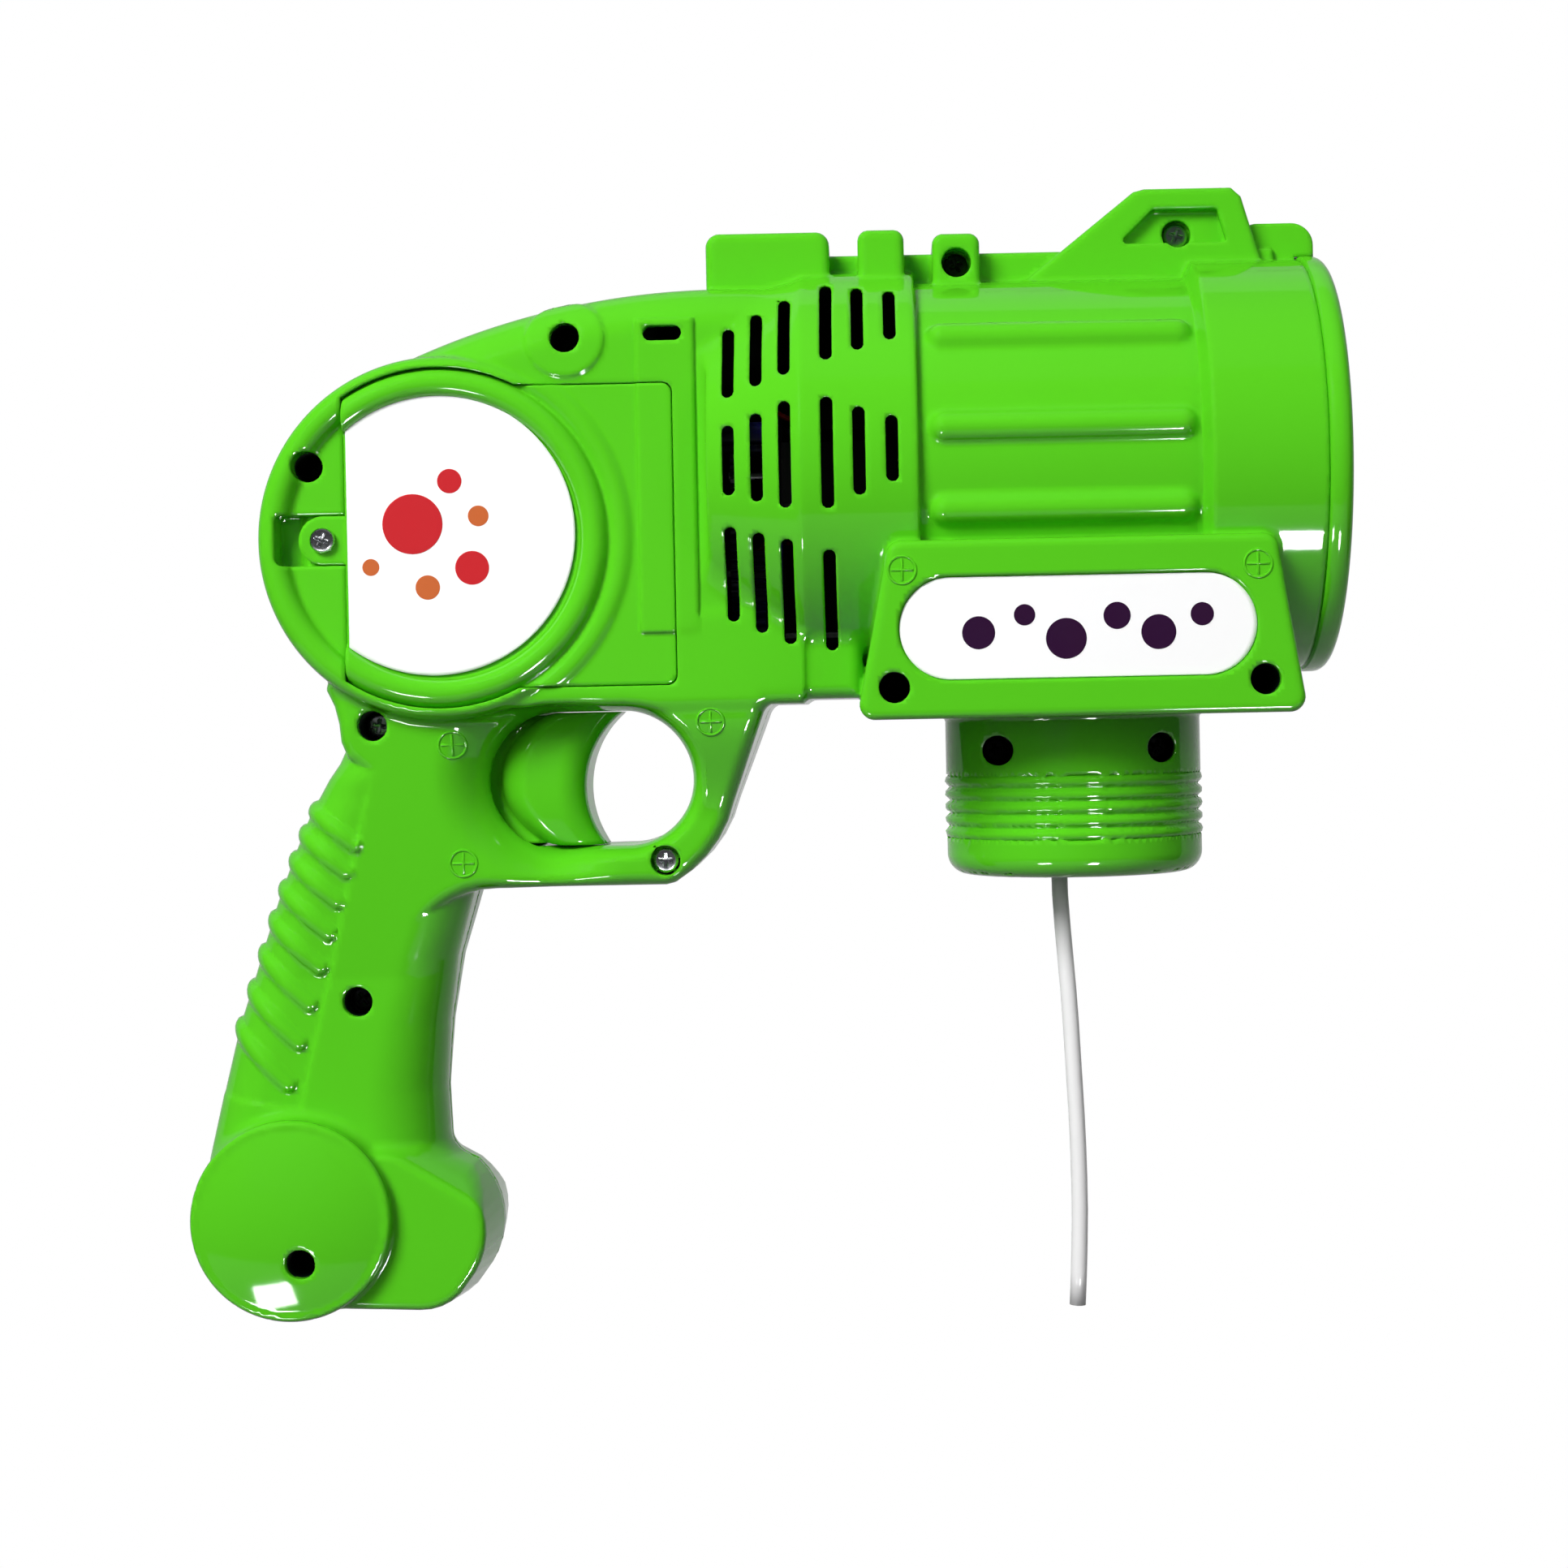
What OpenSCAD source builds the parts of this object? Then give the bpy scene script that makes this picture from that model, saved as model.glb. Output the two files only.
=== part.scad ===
// Battery bubble blower in the shape of a toy pistol.
// X points to the muzzle, Z up, and the photographed side faces -Y.
// Working heights and lengths count from the barrel axis and the bottle axis;
// place() then moves the origin to the middle of the hand grip.

/* [Barrel] */
// Outside radius of the plain barrel
barrel_r = 41.5; // [40.5:0.5:43]
// Length of the plain barrel
barrel_len = 59.5; // [58:0.5:61]
// Outside radius of the front collar
collar_r = 45; // [44.5:0.5:46]
// Length of the front collar
collar_len = 25; // [24:0.5:26]
// Outside radius of the vent drum
drum_r = 44; // [43:0.5:45]
// Length of the vent drum
drum_len = 24.5; // [23.5:0.5:25.5]
// Radius of the vent cone at its rear end
cone_r = 34; // [33:0.5:36]
// Length of the vent cone
cone_len = 20; // [19:0.5:21]
// Distance from the bottle axis to the front of the collar
front_x = 51; // [50:0.5:53]
// How far the muzzle ring stands out round the collar
ring_lip = 0.7; // [0.4:0.1:2]
// Length of the muzzle ring
ring_len = 5; // [4:0.5:7]
// Width of a barrel rib
rib_w = 7; // [5:0.5:8]
// Height of a barrel rib above the barrel
rib_h = 1.4; // [1:0.1:2]
// Width of a vent slot
slot_w = 2.6; // [2:0.1:3]

/* [Rear body] */
// Wall thickness of the moulded halves
wall = 2.2; // [2:0.1:2.5]
// Radius of the rear drum
rear_r = 38.6; // [38.4:0.1:39.4]
// Distance of the rear drum axis behind the bottle axis
rear_back = 135.5; // [134.5:0.5:136.5]
// Drop of the rear drum axis below the barrel axis
rear_drop = 14; // [13:0.5:15]
// Half width of the flat rear body
body_half = 25; // [24.5:0.5:26.5]
// Half width of the trigger guard
guard_half = 16; // [15:0.5:17]

/* [Grip] */
// Half width of the hand grip
grip_half = 15; // [14:0.5:16]
// Number of finger ribs on the back of the grip
grip_ribs = 8; // [6:1:9]
// Radius of the pommel disc
pommel_r = 21.3; // [20.5:0.1:22]
// Half width of the pommel block
pommel_half = 19; // [18:0.5:20]

/* [Bottle end] */
// Outside radius of the bottle neck
neck_r = 27.8; // [27.5:0.1:29]
// Depth of the neck bottom below the barrel axis
neck_low = 89.2; // [88:0.1:91]
// Radius of the bottle socket bore
socket_r = 20; // [18.5:0.5:21]
// Outside diameter of the dip tube
tube_d = 3.6; // [3.2:0.1:4]

/* [Trigger] */
// Height of the finger window
window_h = 29.3; // [28.5:0.1:30]
// Length of the finger window
window_len = 42.7; // [41.5:0.1:44]
// Travel of the trigger
trigger_travel = 5; // [4:0.5:5.5]

/* [Power] */
// Radius of an AA cell
cell_r = 7.2; // [7:0.1:7.25]
// Length of an AA cell
cell_len = 50.5; // [49.5:0.5:51]
// Number of cells
cells = 4; // [4:1:4]
// Thickness of the battery cover plate
cover_t = 2; // [1.8:0.1:2.4]
// Radius of the round label on the cover
label_r = 29.8; // [28.5:0.1:30]

/* [Drive] */
// Radius of the motor can
motor_r = 10.2; // [9.5:0.1:10.5]
// Radius of the motor shaft
motor_shaft_r = 1; // [1:0.1:1.2]
// Tip radius of the fan
fan_r = 18.5; // [17.5:0.5:18.5]
// Number of fan blades
fan_blades = 6; // [5:1:8]
// Drop of the layshaft below the barrel axis
lay_drop = 36; // [35.8:0.1:36.2]
// Radius of the layshaft
lay_r = 1.5; // [1.4:0.1:1.6]
// Number of bubble rings on the wheel
wheel_rings = 6; // [5:1:6]
// Radius of a bubble ring opening
bubble_r = 6.4; // [5.5:0.1:6.6]

/* [Fits] */
// Radial clearance of a shaft in its bearing
run = 0.06; // [0.03:0.01:0.1]
// Clearance between parts that are fitted together
slip = 0.2; // [0.15:0.05:0.3]
// Clearance between parts that move past each other
air = 0.35; // [0.3:0.05:0.5]

/* [Hidden] */
$fn = 64;
eps = 0.01;
// Radial play of a part that is pressed or glued on its pin
press = 0.02;
green = "limegreen";
steel = "silver";
dark = "dimgray";
clear_white = "whitesmoke";

// The middle of the hand grip is the origin
grip_at = [-158, 0, -108];

// Stations along the barrel
collar_x = front_x - collar_len;
barrel_x = collar_x - barrel_len;
drum_x = barrel_x - drum_len;
cone_x = drum_x - cone_len;
ring_r = collar_r + ring_lip;

// Rear drum and body
rear_x = -rear_back;
rear_z = -rear_drop;
rear_face = body_half - 1;
rim_w = 5.5;
rim_h = 3;
body_top = 39.1;
body_low = -50.4;
chin_low = -49.8;

// Trigger window
window_z = -66.1;
window_r = window_h / 2;
window_front_x = -83.3;
window_cx1 = window_front_x - window_r;
window_cx0 = window_cx1 - (window_len - window_h);
trigger_half = guard_half - wall - air;

// Battery cover
cover_r = 36;
cover_left_x = -155.5;
cover_right_x = -85.6;
cover_half_h = 32;
cover_corner = 2.2;
tab_x = -160.4;
tab_r = 5.2;
ledge = 1.4;
ledge_t = 1.5;
cover_back = body_half - cover_t;

// Battery tray
cell_pitch = 2 * cell_r + 0.4;
tray_t = 1.5;
contact_gap = 3;
tray_in_len = cell_len + 2 * contact_gap;
tray_in_h = cells * cell_pitch;
tray_mid_x = -120;
tray_rim = cover_back - ledge_t - slip / 2;
cell_y = -(tray_rim - cell_r + 0.4);
tray_floor_y = cell_y + cell_r + 0.05;

// Bottle end
plate_top_z = -17.1;
// The plate box is as wide as the collar and hangs below it
plate_half = collar_r;
plate_low_z = -collar_r - 9.5;
plate_top = [-40.2, 39.6];
plate_low = [-47.4, 45.6];
neck_in_r = neck_r - wall - 0.2;
socket_top_z = -66.5;
socket_low_z = -neck_low + 1.5;
socket_out_r = neck_in_r - slip;
// The bore for the bottle ends at the narrower seat of the seal; a cup above holds the nipple
seal_t = 1.5;
seal_gap = 0.3;
bore_top_z = socket_top_z - 10;
seat_r = socket_r - 1.5;
seat_top_z = bore_top_z + seal_gap + seal_t;
cup_r = socket_r - 4;
nipple_x = -3.5;
nipple_low_z = -74;
nipple_top_z = -62;

// Screws: x, z, height of the well floor above the middle plane, length under the head
screw_shank_r = 1.25;
screw_head_r = 2.7;
screw_head_h = 2;
cover_screw_len = 9;
well_r = 3.2;
boss_r = 4.3;
screws = [
    [-164.4, 1.7, 8, 16], [-108.1, 28.1, 8, 16], [-151.2, -53.7, 11.5, 18], [-156.6, -113.2, 7, 14],
    [-89.5, -84, 13, 20], [-168.3, -168, 8, 16],
    [-39.5, plate_low_z + 6.6, 9, 18], [36.8, plate_low_z + 6.9, 9, 18],
    [-17.5, -61.6, 8, 16], [17.5, -61.6, 8, 16], [-24, 44.6, 5.5, 11], [24.7, 50.8, 3.2, 8]
];

// Drive train
plate_x = drum_x - 7;
plate_t = 2;
motor_x = plate_x + plate_t;
motor_cap_len = 4;
motor_len = 25;
motor_flat = 0.76 * motor_r;
fan_x = motor_x + motor_len + 3;
fan_len = 10;
duct_in_r = fan_r + 1;
duct_t = 1.5;
duct_x = fan_x - 1.5;
duct_front_x = collar_x - 8;
baffle_x = barrel_x + 3.5;
baffle_t = 2;
gear_low = 12;
big_teeth = 50;
lay_teeth = 24;
wheel_teeth = 78;
m_first = 0.7;
m_second = 0.8;
mesh_gap = 0.15;
m_wheel = (lay_drop - mesh_gap) / ((gear_low + wheel_teeth) / 2);
first_dist = m_first * (gear_low + big_teeth) / 2 + mesh_gap;
second_dist = m_second * (gear_low + lay_teeth) / 2 + mesh_gap;
idler_z = -(first_dist ^ 2 - second_dist ^ 2 + lay_drop ^ 2) / (2 * lay_drop);
idler_y = sqrt(max(0, first_dist ^ 2 - idler_z ^ 2));
first_turn = atan2(idler_z, idler_y);
second_turn = atan2(-lay_drop - idler_z, -idler_y);
stage_two_x = plate_x - 5;
stage_one_x = stage_two_x - 4.5;
gear_w = 3;
gear_cover_x = stage_one_x - 4;
idler_pin_r = 1.5;

// Pump
pump_x = [-10.5, 10.5];
pump_wall = 2;
pump_in_r = 11;
pump_out_r = 12.5;
lobe_orbit = 6;
lobe_r = 2.2;
hose_r = 1.15;
hose_orbit = pump_in_r - hose_r - slip;

// Bubble wheel
wheel_x = collar_x + 1.5;
wheel_gear_w = 3;
wheel_ring_len = 8;
wheel_axle_r = 2;
ring_orbit = 18.5;
ring_wall = 1.6;

// Routes of the dip tube, pump hose and wires, from the bottle and barrel axes
tube_route = [
    [-3.5, 0, -74], [-3.5, 0, -80], [-3.5, 0, -87], [-3.4, 0, -94], [-3, 0, -101], [-2.5, 0, -108],
    [-2, 0, -115], [-1.6, 0, -122], [-1.3, 0, -129], [-1, 0, -136], [-0.7, 0, -143], [-0.5, 0, -150],
    [-0.4, 0, -157], [-0.4, 0, -164], [-0.6, 0, -171], [-0.9, 0, -178], [-1.3, 0, -185]
];
feed_y = barrel_r - 9.5;
feed_route = [
    [-3.5, -10, -49], [-2, -10.4, -51.5], [2, -11, -53], [8, -12, -53], [14, -15, -51], [18, -20, -46],
    [20, 7 - feed_y, -38], [wheel_x - 6.5, 3 - feed_y, -28], [wheel_x - 5.5, 0.5 - feed_y, -16],
    [wheel_x - 5, -feed_y, -4], [wheel_x - 4.5, 2 - feed_y, 8], [wheel_x - 3.5, 6 - feed_y, 17],
    [wheel_x - 1.9, -22, 22]
];

// Points along the circle through three points
function arc_through(a, b, c, n) =
    let (
        d = 2 * (a.x * (b.y - c.y) + b.x * (c.y - a.y) + c.x * (a.y - b.y)),
        u = ((a * a) * (b.y - c.y) + (b * b) * (c.y - a.y) + (c * c) * (a.y - b.y)) / d,
        v = ((a * a) * (c.x - b.x) + (b * b) * (a.x - c.x) + (c * c) * (b.x - a.x)) / d,
        r = norm(a - [u, v]),
        t0 = atan2(a.y - v, a.x - u),
        t1 = atan2(c.y - v, c.x - u),
        turns_left = (b.x - a.x) * (c.y - b.y) - (b.y - a.y) * (c.x - b.x) > 0,
        sweep = turns_left ? (t1 - t0 + 720) % 360 : -((t0 - t1 + 720) % 360)
    )
    [for (i = [0 : n]) [u, v] + r * [cos(t0 + sweep * i / n), sin(t0 + sweep * i / n)]];

// Half angle of an involute tooth at radius r, in degrees
function involute(a) = tan(a) - a * PI / 180;
function tooth_half(r, r_pitch, n, play) =
    let (r_base = r_pitch * cos(20), a = acos(min(1, r_base / r)))
    90 / n - play / r_pitch * 180 / PI / 2 + (involute(20) - involute(a)) * 180 / PI;

// Outline of a spur gear with a tooth centred on the angle turn
function gear_points(n, m, turn, play = 0.25) =
    let (
        r_pitch = n * m / 2,
        r_tip = r_pitch + 0.85 * m,
        r_root = r_pitch - 1.15 * m,
        r_low = max(r_root + 0.1, r_pitch * cos(20)),
        radii = [r_root, r_low, r_pitch, r_tip],
        halves = [for (r = radii) tooth_half(max(r, r_low), r_pitch, n, play)]
    )
    [for (i = [0 : n - 1], k = [0 : 7])
        let (j = k < 4 ? k : 7 - k, side = k < 4 ? -1 : 1, t = turn + 360 * i / n + side * halves[j])
        radii[j] * [cos(t), sin(t)]];

// Frame of rings swept along a route, as one closed tube
function route_dir(p, i) =
    let (a = p[max(i - 1, 0)], b = p[min(i + 1, len(p) - 1)]) (b - a) / norm(b - a);
function side_of(d) = let (s = cross(abs(d.y) > 0.9 ? [1, 0, 0] : [0, 1, 0], d)) s / norm(s);
function ring_at(p, i, r, n) =
    let (d = route_dir(p, i), s = side_of(d), w = cross(d, s))
    [for (k = [0 : n - 1]) p[i] + r * (s * cos(360 * k / n) + w * sin(360 * k / n))];

module place() {
    translate(-grip_at) children();
}

// Extrusion of a side outline, drawn in x and z, to half width h on both sides
module side(h) {
    rotate([90, 0, 0]) linear_extrude(2 * h, center = true) children();
}

// Extrusion of a side outline between two distances towards the photographed side
module side_between(y0, y1) {
    rotate([90, 0, 0]) translate([0, 0, y0]) linear_extrude(y1 - y0) children();
}

// Extrusion along the barrel of an outline drawn in y and z
module along_x(x0, len) {
    translate([x0, 0, 0]) rotate([90, 0, 90]) linear_extrude(len) children();
}

// Revolve about the barrel axis of a profile drawn in radius and x
module spin_x() {
    rotate([0, 90, 0]) rotate_extrude() children();
}

// Round bar along the barrel
module bar_x(x0, len, r) {
    translate([x0, 0, 0]) rotate([0, 90, 0]) cylinder(len, r, r);
}

// Round bar across the body from y0 to y1, positive towards the photographed side
module bar_y(at, y0, y1, r) {
    translate([at.x, -y0, at.y]) rotate([90, 0, 0]) cylinder(y1 - y0, r, r);
}

module tube_along(route, r, sides) {
    n = len(route);
    rings = [for (i = [0 : n - 1]) each ring_at(route, i, r, sides)];
    walls = [for (i = [0 : n - 2], k = [0 : sides - 1])
        let (a = i * sides + k, b = i * sides + (k + 1) % sides)
        each [[a, b, b + sides], [a, b + sides, a + sides]]];
    cap0 = [for (k = [1 : sides - 2]) [0, k + 1, k]];
    cap1 = [for (k = [1 : sides - 2]) [(n - 1) * sides, (n - 1) * sides + k, (n - 1) * sides + k + 1]];
    polyhedron(rings, [for (f = concat(walls, cap0, cap1)) [f[0], f[2], f[1]]]);
}

module gear(n, m, turn, x0, w) {
    along_x(x0, w) polygon(gear_points(n, m, turn));
}

// Barrel, vent drum and vent cone, inset by e
module barrel_form(e) {
    open_end = e > 0 ? ring_len : 0;
    spin_x() polygon([
        [0, cone_x + e], [cone_r - e, cone_x + e], [drum_r - e, drum_x], [drum_r - e, barrel_x - e],
        [barrel_r - e, barrel_x - e], [barrel_r - e, collar_x + e], [collar_r - e, collar_x + e],
        [collar_r - e, front_x + open_end], [0, front_x + open_end]
    ]);
}

// Angles of the barrel ribs, up from the photographed side
rib_turns = [-38, -8, 20];

// Raised ribs along the barrel
module barrel_ribs() {
    for (t = rib_turns, s = [0, 180])
        rotate([s > 0 ? s - t : t, 0, 0])
            rotate([90, 0, 0])
                linear_extrude(barrel_r + rib_h)
                    barrel_rib_outline();
}

module barrel_rib_outline() {
    x0 = barrel_x + 2 + rib_w / 2;
    x1 = collar_x - 1.5 - rib_w / 2;
    for (x = [x0, x1])
        translate([x, 0]) circle(rib_w / 2);
    translate([x0, -rib_w / 2]) square([x1 - x0, rib_w]);
}

// Rear drum with its raised rim, inset by e
module rear_drum(e) {
    face = rear_face - e;
    rim = arc_through([rear_r - rim_w, rear_face], [rear_r - rim_w / 2, rear_face + rim_h],
        [rear_r, rear_face - 1], 6);
    outside = concat([[0, rear_face]], rim);
    inside = [[0, face], [rear_r - e, face]];
    half = e > 0 ? inside : outside;
    other = [for (i = [len(half) - 1 : -1 : 0]) [half[i].x, -half[i].y]];
    translate([rear_x, 0, rear_z]) rotate([90, 0, 0]) rotate_extrude() polygon(concat(half, other));
}

// Side outline of the rear body, inset by e all round, then by top above and low below
function body_outline(e, top, low) =
    let (up = -e - top, down = e + low)
    concat(
        arc_through([-146, body_top - 15.5 + up], [-116, body_top - 4.9 + up], [-74, body_top + up], 8),
        [[drum_x - 1 - e, body_top + up], [drum_x - 1 - e, body_low + down],
         [-140, body_low + down], [-146, -42 + down]]
    );

// Flat sided rear body with rounded shoulders, inset by e
module body_block(e) {
    hull() {
        side(body_half - 13 - e) polygon(body_outline(e, 0, 0));
        side(body_half - 4 - e) polygon(body_outline(e, 2.5, 0.5));
        side(body_half - e) polygon(body_outline(e, 8, 1.6));
    }
}

guard_outline = concat(
    [[-46 + eps, -30], [-46 + eps, chin_low], [-66.4, chin_low]],
    arc_through([-74.5, -71.5], [-78.6, -80.6], [-87.5, -88.8], 5),
    [[-89.5, -89.3]],
    arc_through([-127, -89.3], [-132.6, -92], [-135, -98], 4),
    [[-137, -106], [-159.5, -106], [-150.5, -66], [-152.5, -62], [-158.4, -58.5], [-158.5, -53],
     [-159.7, -49.3], [-161.4, -45.5], [-150, -30]]
);

// Trigger guard and upper grip, inset by e
module guard_block(e) {
    side(guard_half - e) offset(delta = -e) polygon(guard_outline);
}

// Rounded section of the grip at height z, from rear to front
module grip_slice(z, rear, front, e) {
    half = grip_half - e;
    corner = 9;
    translate([0, 0, z]) linear_extrude(0.1) {
        translate([rear + grip_half, 0]) circle(half, $fn = 32);
        for (s = [-1, 1])
            translate([front - e - corner, s * (half - corner)]) circle(corner, $fn = 32);
    }
}

// Height, rear and front of the grip sections
grip_slices = [[-51, -157.9, -128], [-119, -185.8, -138], [-148, -192.2, -138.6]];

// Hand grip, inset by e
module grip_form(e) {
    for (i = [0, 1])
        hull() {
            grip_slice(grip_slices[i][0] - (1 - i) * e, grip_slices[i][1], grip_slices[i][2], e);
            grip_slice(grip_slices[i + 1][0], grip_slices[i + 1][1], grip_slices[i + 1][2], e);
        }
}

rib_first = [-168.6, -70.8];
rib_last = [-186.6, -122];
rib_tilt = 38;
grip_rib_r = 1.5;

// Finger ribs round the back of the grip
module grip_rib_set() {
    for (i = [0 : grip_ribs - 1]) {
        at = rib_first + (rib_last - rib_first) * i / (grip_ribs - 1);
        translate([at.x + grip_half, 0, at.y - 6])
            rotate([0, rib_tilt, 0])
                rotate_extrude(angle = 190, start = 85)
                    translate([grip_half + 0.2, 0]) circle(grip_rib_r, $fn = 24);
    }
}

pommel_at = [-170.7, -159.2];
pommel_outline = concat(
    [[-172, -146], [-140, -147.4]],
    arc_through([-135, -152.4], [-129.6, -163.4], [-132.5, -174.5], 8),
    arc_through([-135, -177.2], [-139.5, -179.7], [-146, -180.4], 4),
    [[-168, -179.4], [-172, -176.6]]
);

// Pommel block, inset by e
module pommel_block(e) {
    intersection() {
        side(pommel_half + 5) offset(delta = -e) polygon(pommel_outline);
        translate([0, 0, -190]) linear_extrude(60) pommel_plan(e);
    }
}

// Plan of the pommel block with round front corners
module pommel_plan(e) {
    corner = 9;
    x1 = -129 - e;
    half = pommel_half - e;
    for (s = [-1, 1])
        translate([x1 - corner, s * (half - corner)]) circle(corner);
    translate([-175, -half]) square([x1 - corner + 175, 2 * half]);
    translate([x1 - corner - eps, -half + corner]) square([corner + eps, 2 * (half - corner)]);
}

// Domed disc on the pommel, inset by e
module pommel_disc(e) {
    edge = pommel_half + 3 - e;
    r = pommel_r - e;
    crown = arc_through([r - 1.2, edge + 0.6], [r / 2, edge + 2.4], [0, edge + 3], 6);
    half = concat([[r, edge - 0.6]], crown);
    other = [for (i = [len(half) - 1 : -1 : 0]) [half[i].x, -half[i].y]];
    translate([pommel_at.x, 0, pommel_at.y]) rotate([90, 0, 0]) rotate_extrude()
        polygon(concat(half, other));
}

// Box round the barrel that carries the bottle neck, inset by e
module plate_box(e) {
    side(plate_half - e) offset(delta = -e) polygon([
        [plate_low[0], plate_low_z], [plate_low[1], plate_low_z],
        [plate_top[1], plate_top_z], [plate_top[0], plate_top_z]
    ]);
}

neck_rib_z = -66.8;
neck_rib_pitch = 2.9;
neck_rib_count = 5;
neck_rib_r = 1.15;

// Bottle neck with its ribs
module neck_outside() {
    rotate_extrude() {
        polygon(concat(
            [[0, plate_low_z + 4], [neck_r, plate_low_z + 4], [neck_r, neck_rib_z]],
            [[neck_r - 0.6, neck_rib_z - 0.5], [neck_r - 0.6, -80.2], [neck_r, -81]],
            arc_through([neck_r, -neck_low + 7], [neck_r - 1.4, -neck_low + 2.2],
                [neck_r - 3.4, -neck_low], 4),
            [[0, -neck_low]]));
        for (i = [0 : neck_rib_count - 1])
            translate([neck_r - 0.9, neck_rib_z - 1.4 - i * neck_rib_pitch])
                circle(neck_rib_r, $fn = 24);
    }
}

module neck_inside() {
    translate([0, 0, socket_low_z - slip])
        cylinder(-40 - socket_low_z, neck_in_r, neck_in_r);
    translate([0, 0, -neck_low - 1])
        cylinder(neck_low + socket_low_z + 2, neck_in_r - 2, neck_in_r - 2);
}

rail_top = 47.7;
rail_half = 5;
fin_half = 8;
rear_block_half = 14;
small_block_half = 16.5;
screw_block_half = 12;
bump_half = 2.6;
bump_x = [front_x - 11, front_x + 4.2];
bump_top = 53.4;
bump_r = 4.9;

// Side outline of a raised block with round upper corners
module block_outline(x0, x1, top, r) {
    for (x = [x0 + r, x1 - r])
        translate([x, top - r]) circle(r);
    translate([x0, 30]) square([x1 - x0, top - r - 30]);
    translate([x0 + r, 30]) square([x1 - x0 - 2 * r, top - 30]);
}

fin_outline = [[-5.5, 44], [15.2, 60], [18, 60.5], [36.5, 60.6], [38.6, 58.8], [43, 44]];
fin_recess = [[11.7, 48.6], [19.3, 56], [33.4, 56], [35.6, 48.6]];

// Sight rail, blocks and fin on top
module top_trim() {
    side(rail_half) translate([cone_x + 12, 36]) square([-cone_x - 12 + 46, rail_top - 36]);
    side(rear_block_half) block_outline(cone_x - 0.4, drum_x + 6.4, 51.6, 3);
    side(small_block_half) block_outline(-45.4, -35.4, 51.3, 2.2);
    side(screw_block_half) block_outline(-29.2, -18.9, 51, 2.2);
    side(fin_half) polygon(fin_outline);
    side(bump_half) difference() {
        union() {
            translate([bump_x[0], 36]) square([bump_x[1] - bump_r - bump_x[0], bump_top - 36]);
            translate([bump_x[1] - bump_r, bump_top - bump_r]) circle(bump_r);
        }
        translate([front_x - eps, 0]) square([20, ring_r + air]);
    }
}

band_x = [-93, -80.6];
band_z = [-35, 31.8];
band_h = 0.8;
boss_ring_r = 7.4;

// Raised band across the rear body
module band_outline() {
    translate([band_x[0], band_z[0]]) square([band_x[1] - band_x[0], band_z[1] - band_z[0]]);
}

// Raised band and screw boss on the flat sides of the rear body
module body_trim() {
    side(body_half + band_h) band_outline();
    bar_y([screws[1][0], screws[1][1]], -body_half + 3, body_half - 3, boss_ring_r);
}

// The whole outside before hollowing
module outer_form() {
    barrel_form(0);
    barrel_ribs();
    rear_drum(0);
    body_block(0);
    guard_block(0);
    grip_form(0);
    pommel_block(0);
    pommel_disc(0);
    plate_box(0);
    neck_outside();
    grip_rib_set();
    top_trim();
    body_trim();
}

// The space inside both halves
module inner_form() {
    barrel_form(wall);
    rear_drum(wall);
    body_block(wall);
    guard_block(wall);
    grip_form(wall);
    pommel_block(wall);
    pommel_disc(wall);
    plate_box(wall);
    neck_inside();
}

// Finger window outline, grown by e
module window_outline(e) {
    for (x = [window_cx0, window_cx1])
        translate([x, window_z]) circle(window_r + e);
    translate([window_cx0, window_z - window_r - e])
        square([window_cx1 - window_cx0, 2 * (window_r + e)]);
}

// Sleeve that lines the front of the finger window
module window_sleeve() {
    difference() {
        side(guard_half - 0.6) intersection() {
            window_outline(wall);
            translate([window_cx1 - 4, window_z - 40]) square([60, 80]);
        }
        side(guard_half + 5) window_outline(0);
    }
}

slot_columns = [cone_x + 4.8, cone_x + 10.8, cone_x + 16.8, drum_x + 5.6, drum_x + 12.2, drum_x + 19];

// Slots of the three vent rows, by column: low and high end
vent_slots = [
    [[13.6, 29], [-7, 7.5], [-33, -13.5]],
    [[15.6, 32], [-8.6, 9.6], [-35.5, -15]],
    [[17.6, 35], [-10.2, 11.8], [-38, -16.6]],
    [[20.5, 38.5], [-10.6, 12.4], [-39.5, -19]],
    [[22.6, 37.6], [-8, 10.2]],
    [[24.8, 36.6], [-5.4, 8.2]]
];

// Vent slots through the right half
module vent_cuts() {
    for (c = [0 : len(slot_columns) - 1], v = vent_slots[c])
        side_between(14, 60) {
            x = slot_columns[c];
            for (z = v)
                translate([x, z + (z == v[0] ? 1 : -1) * slot_w / 2]) circle(slot_w / 2);
            translate([x - slot_w / 2, v[0] + slot_w / 2]) square([slot_w, v[1] - v[0] - slot_w]);
        }
}

// Outline of the battery cover without its tab, grown by e
module cover_outline(e) {
    intersection() {
        translate([rear_x, rear_z]) circle(cover_r + e);
        translate([cover_left_x - e, rear_z - 60]) square([60, 120]);
    }
    x0 = rear_x + 10;
    x1 = cover_right_x + e;
    h = cover_half_h + e;
    c = cover_corner;
    translate([x0, rear_z - h]) square([x1 - c - x0, 2 * h]);
    translate([x1 - c - eps, rear_z - h + c]) square([c + eps, 2 * (h - c)]);
    for (s = [-1, 1])
        translate([x1 - c, rear_z + s * (h - c)]) circle(c);
}

// Screw tab of the cover, grown by e
module tab_outline(e) {
    translate([tab_x, rear_z]) circle(tab_r + e);
    translate([tab_x, rear_z - tab_r - e]) square([cover_left_x - tab_x + 2, 2 * (tab_r + e)]);
}

tab_pocket_x = -165.2;
tab_floor = rear_face - cover_t;

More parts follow.
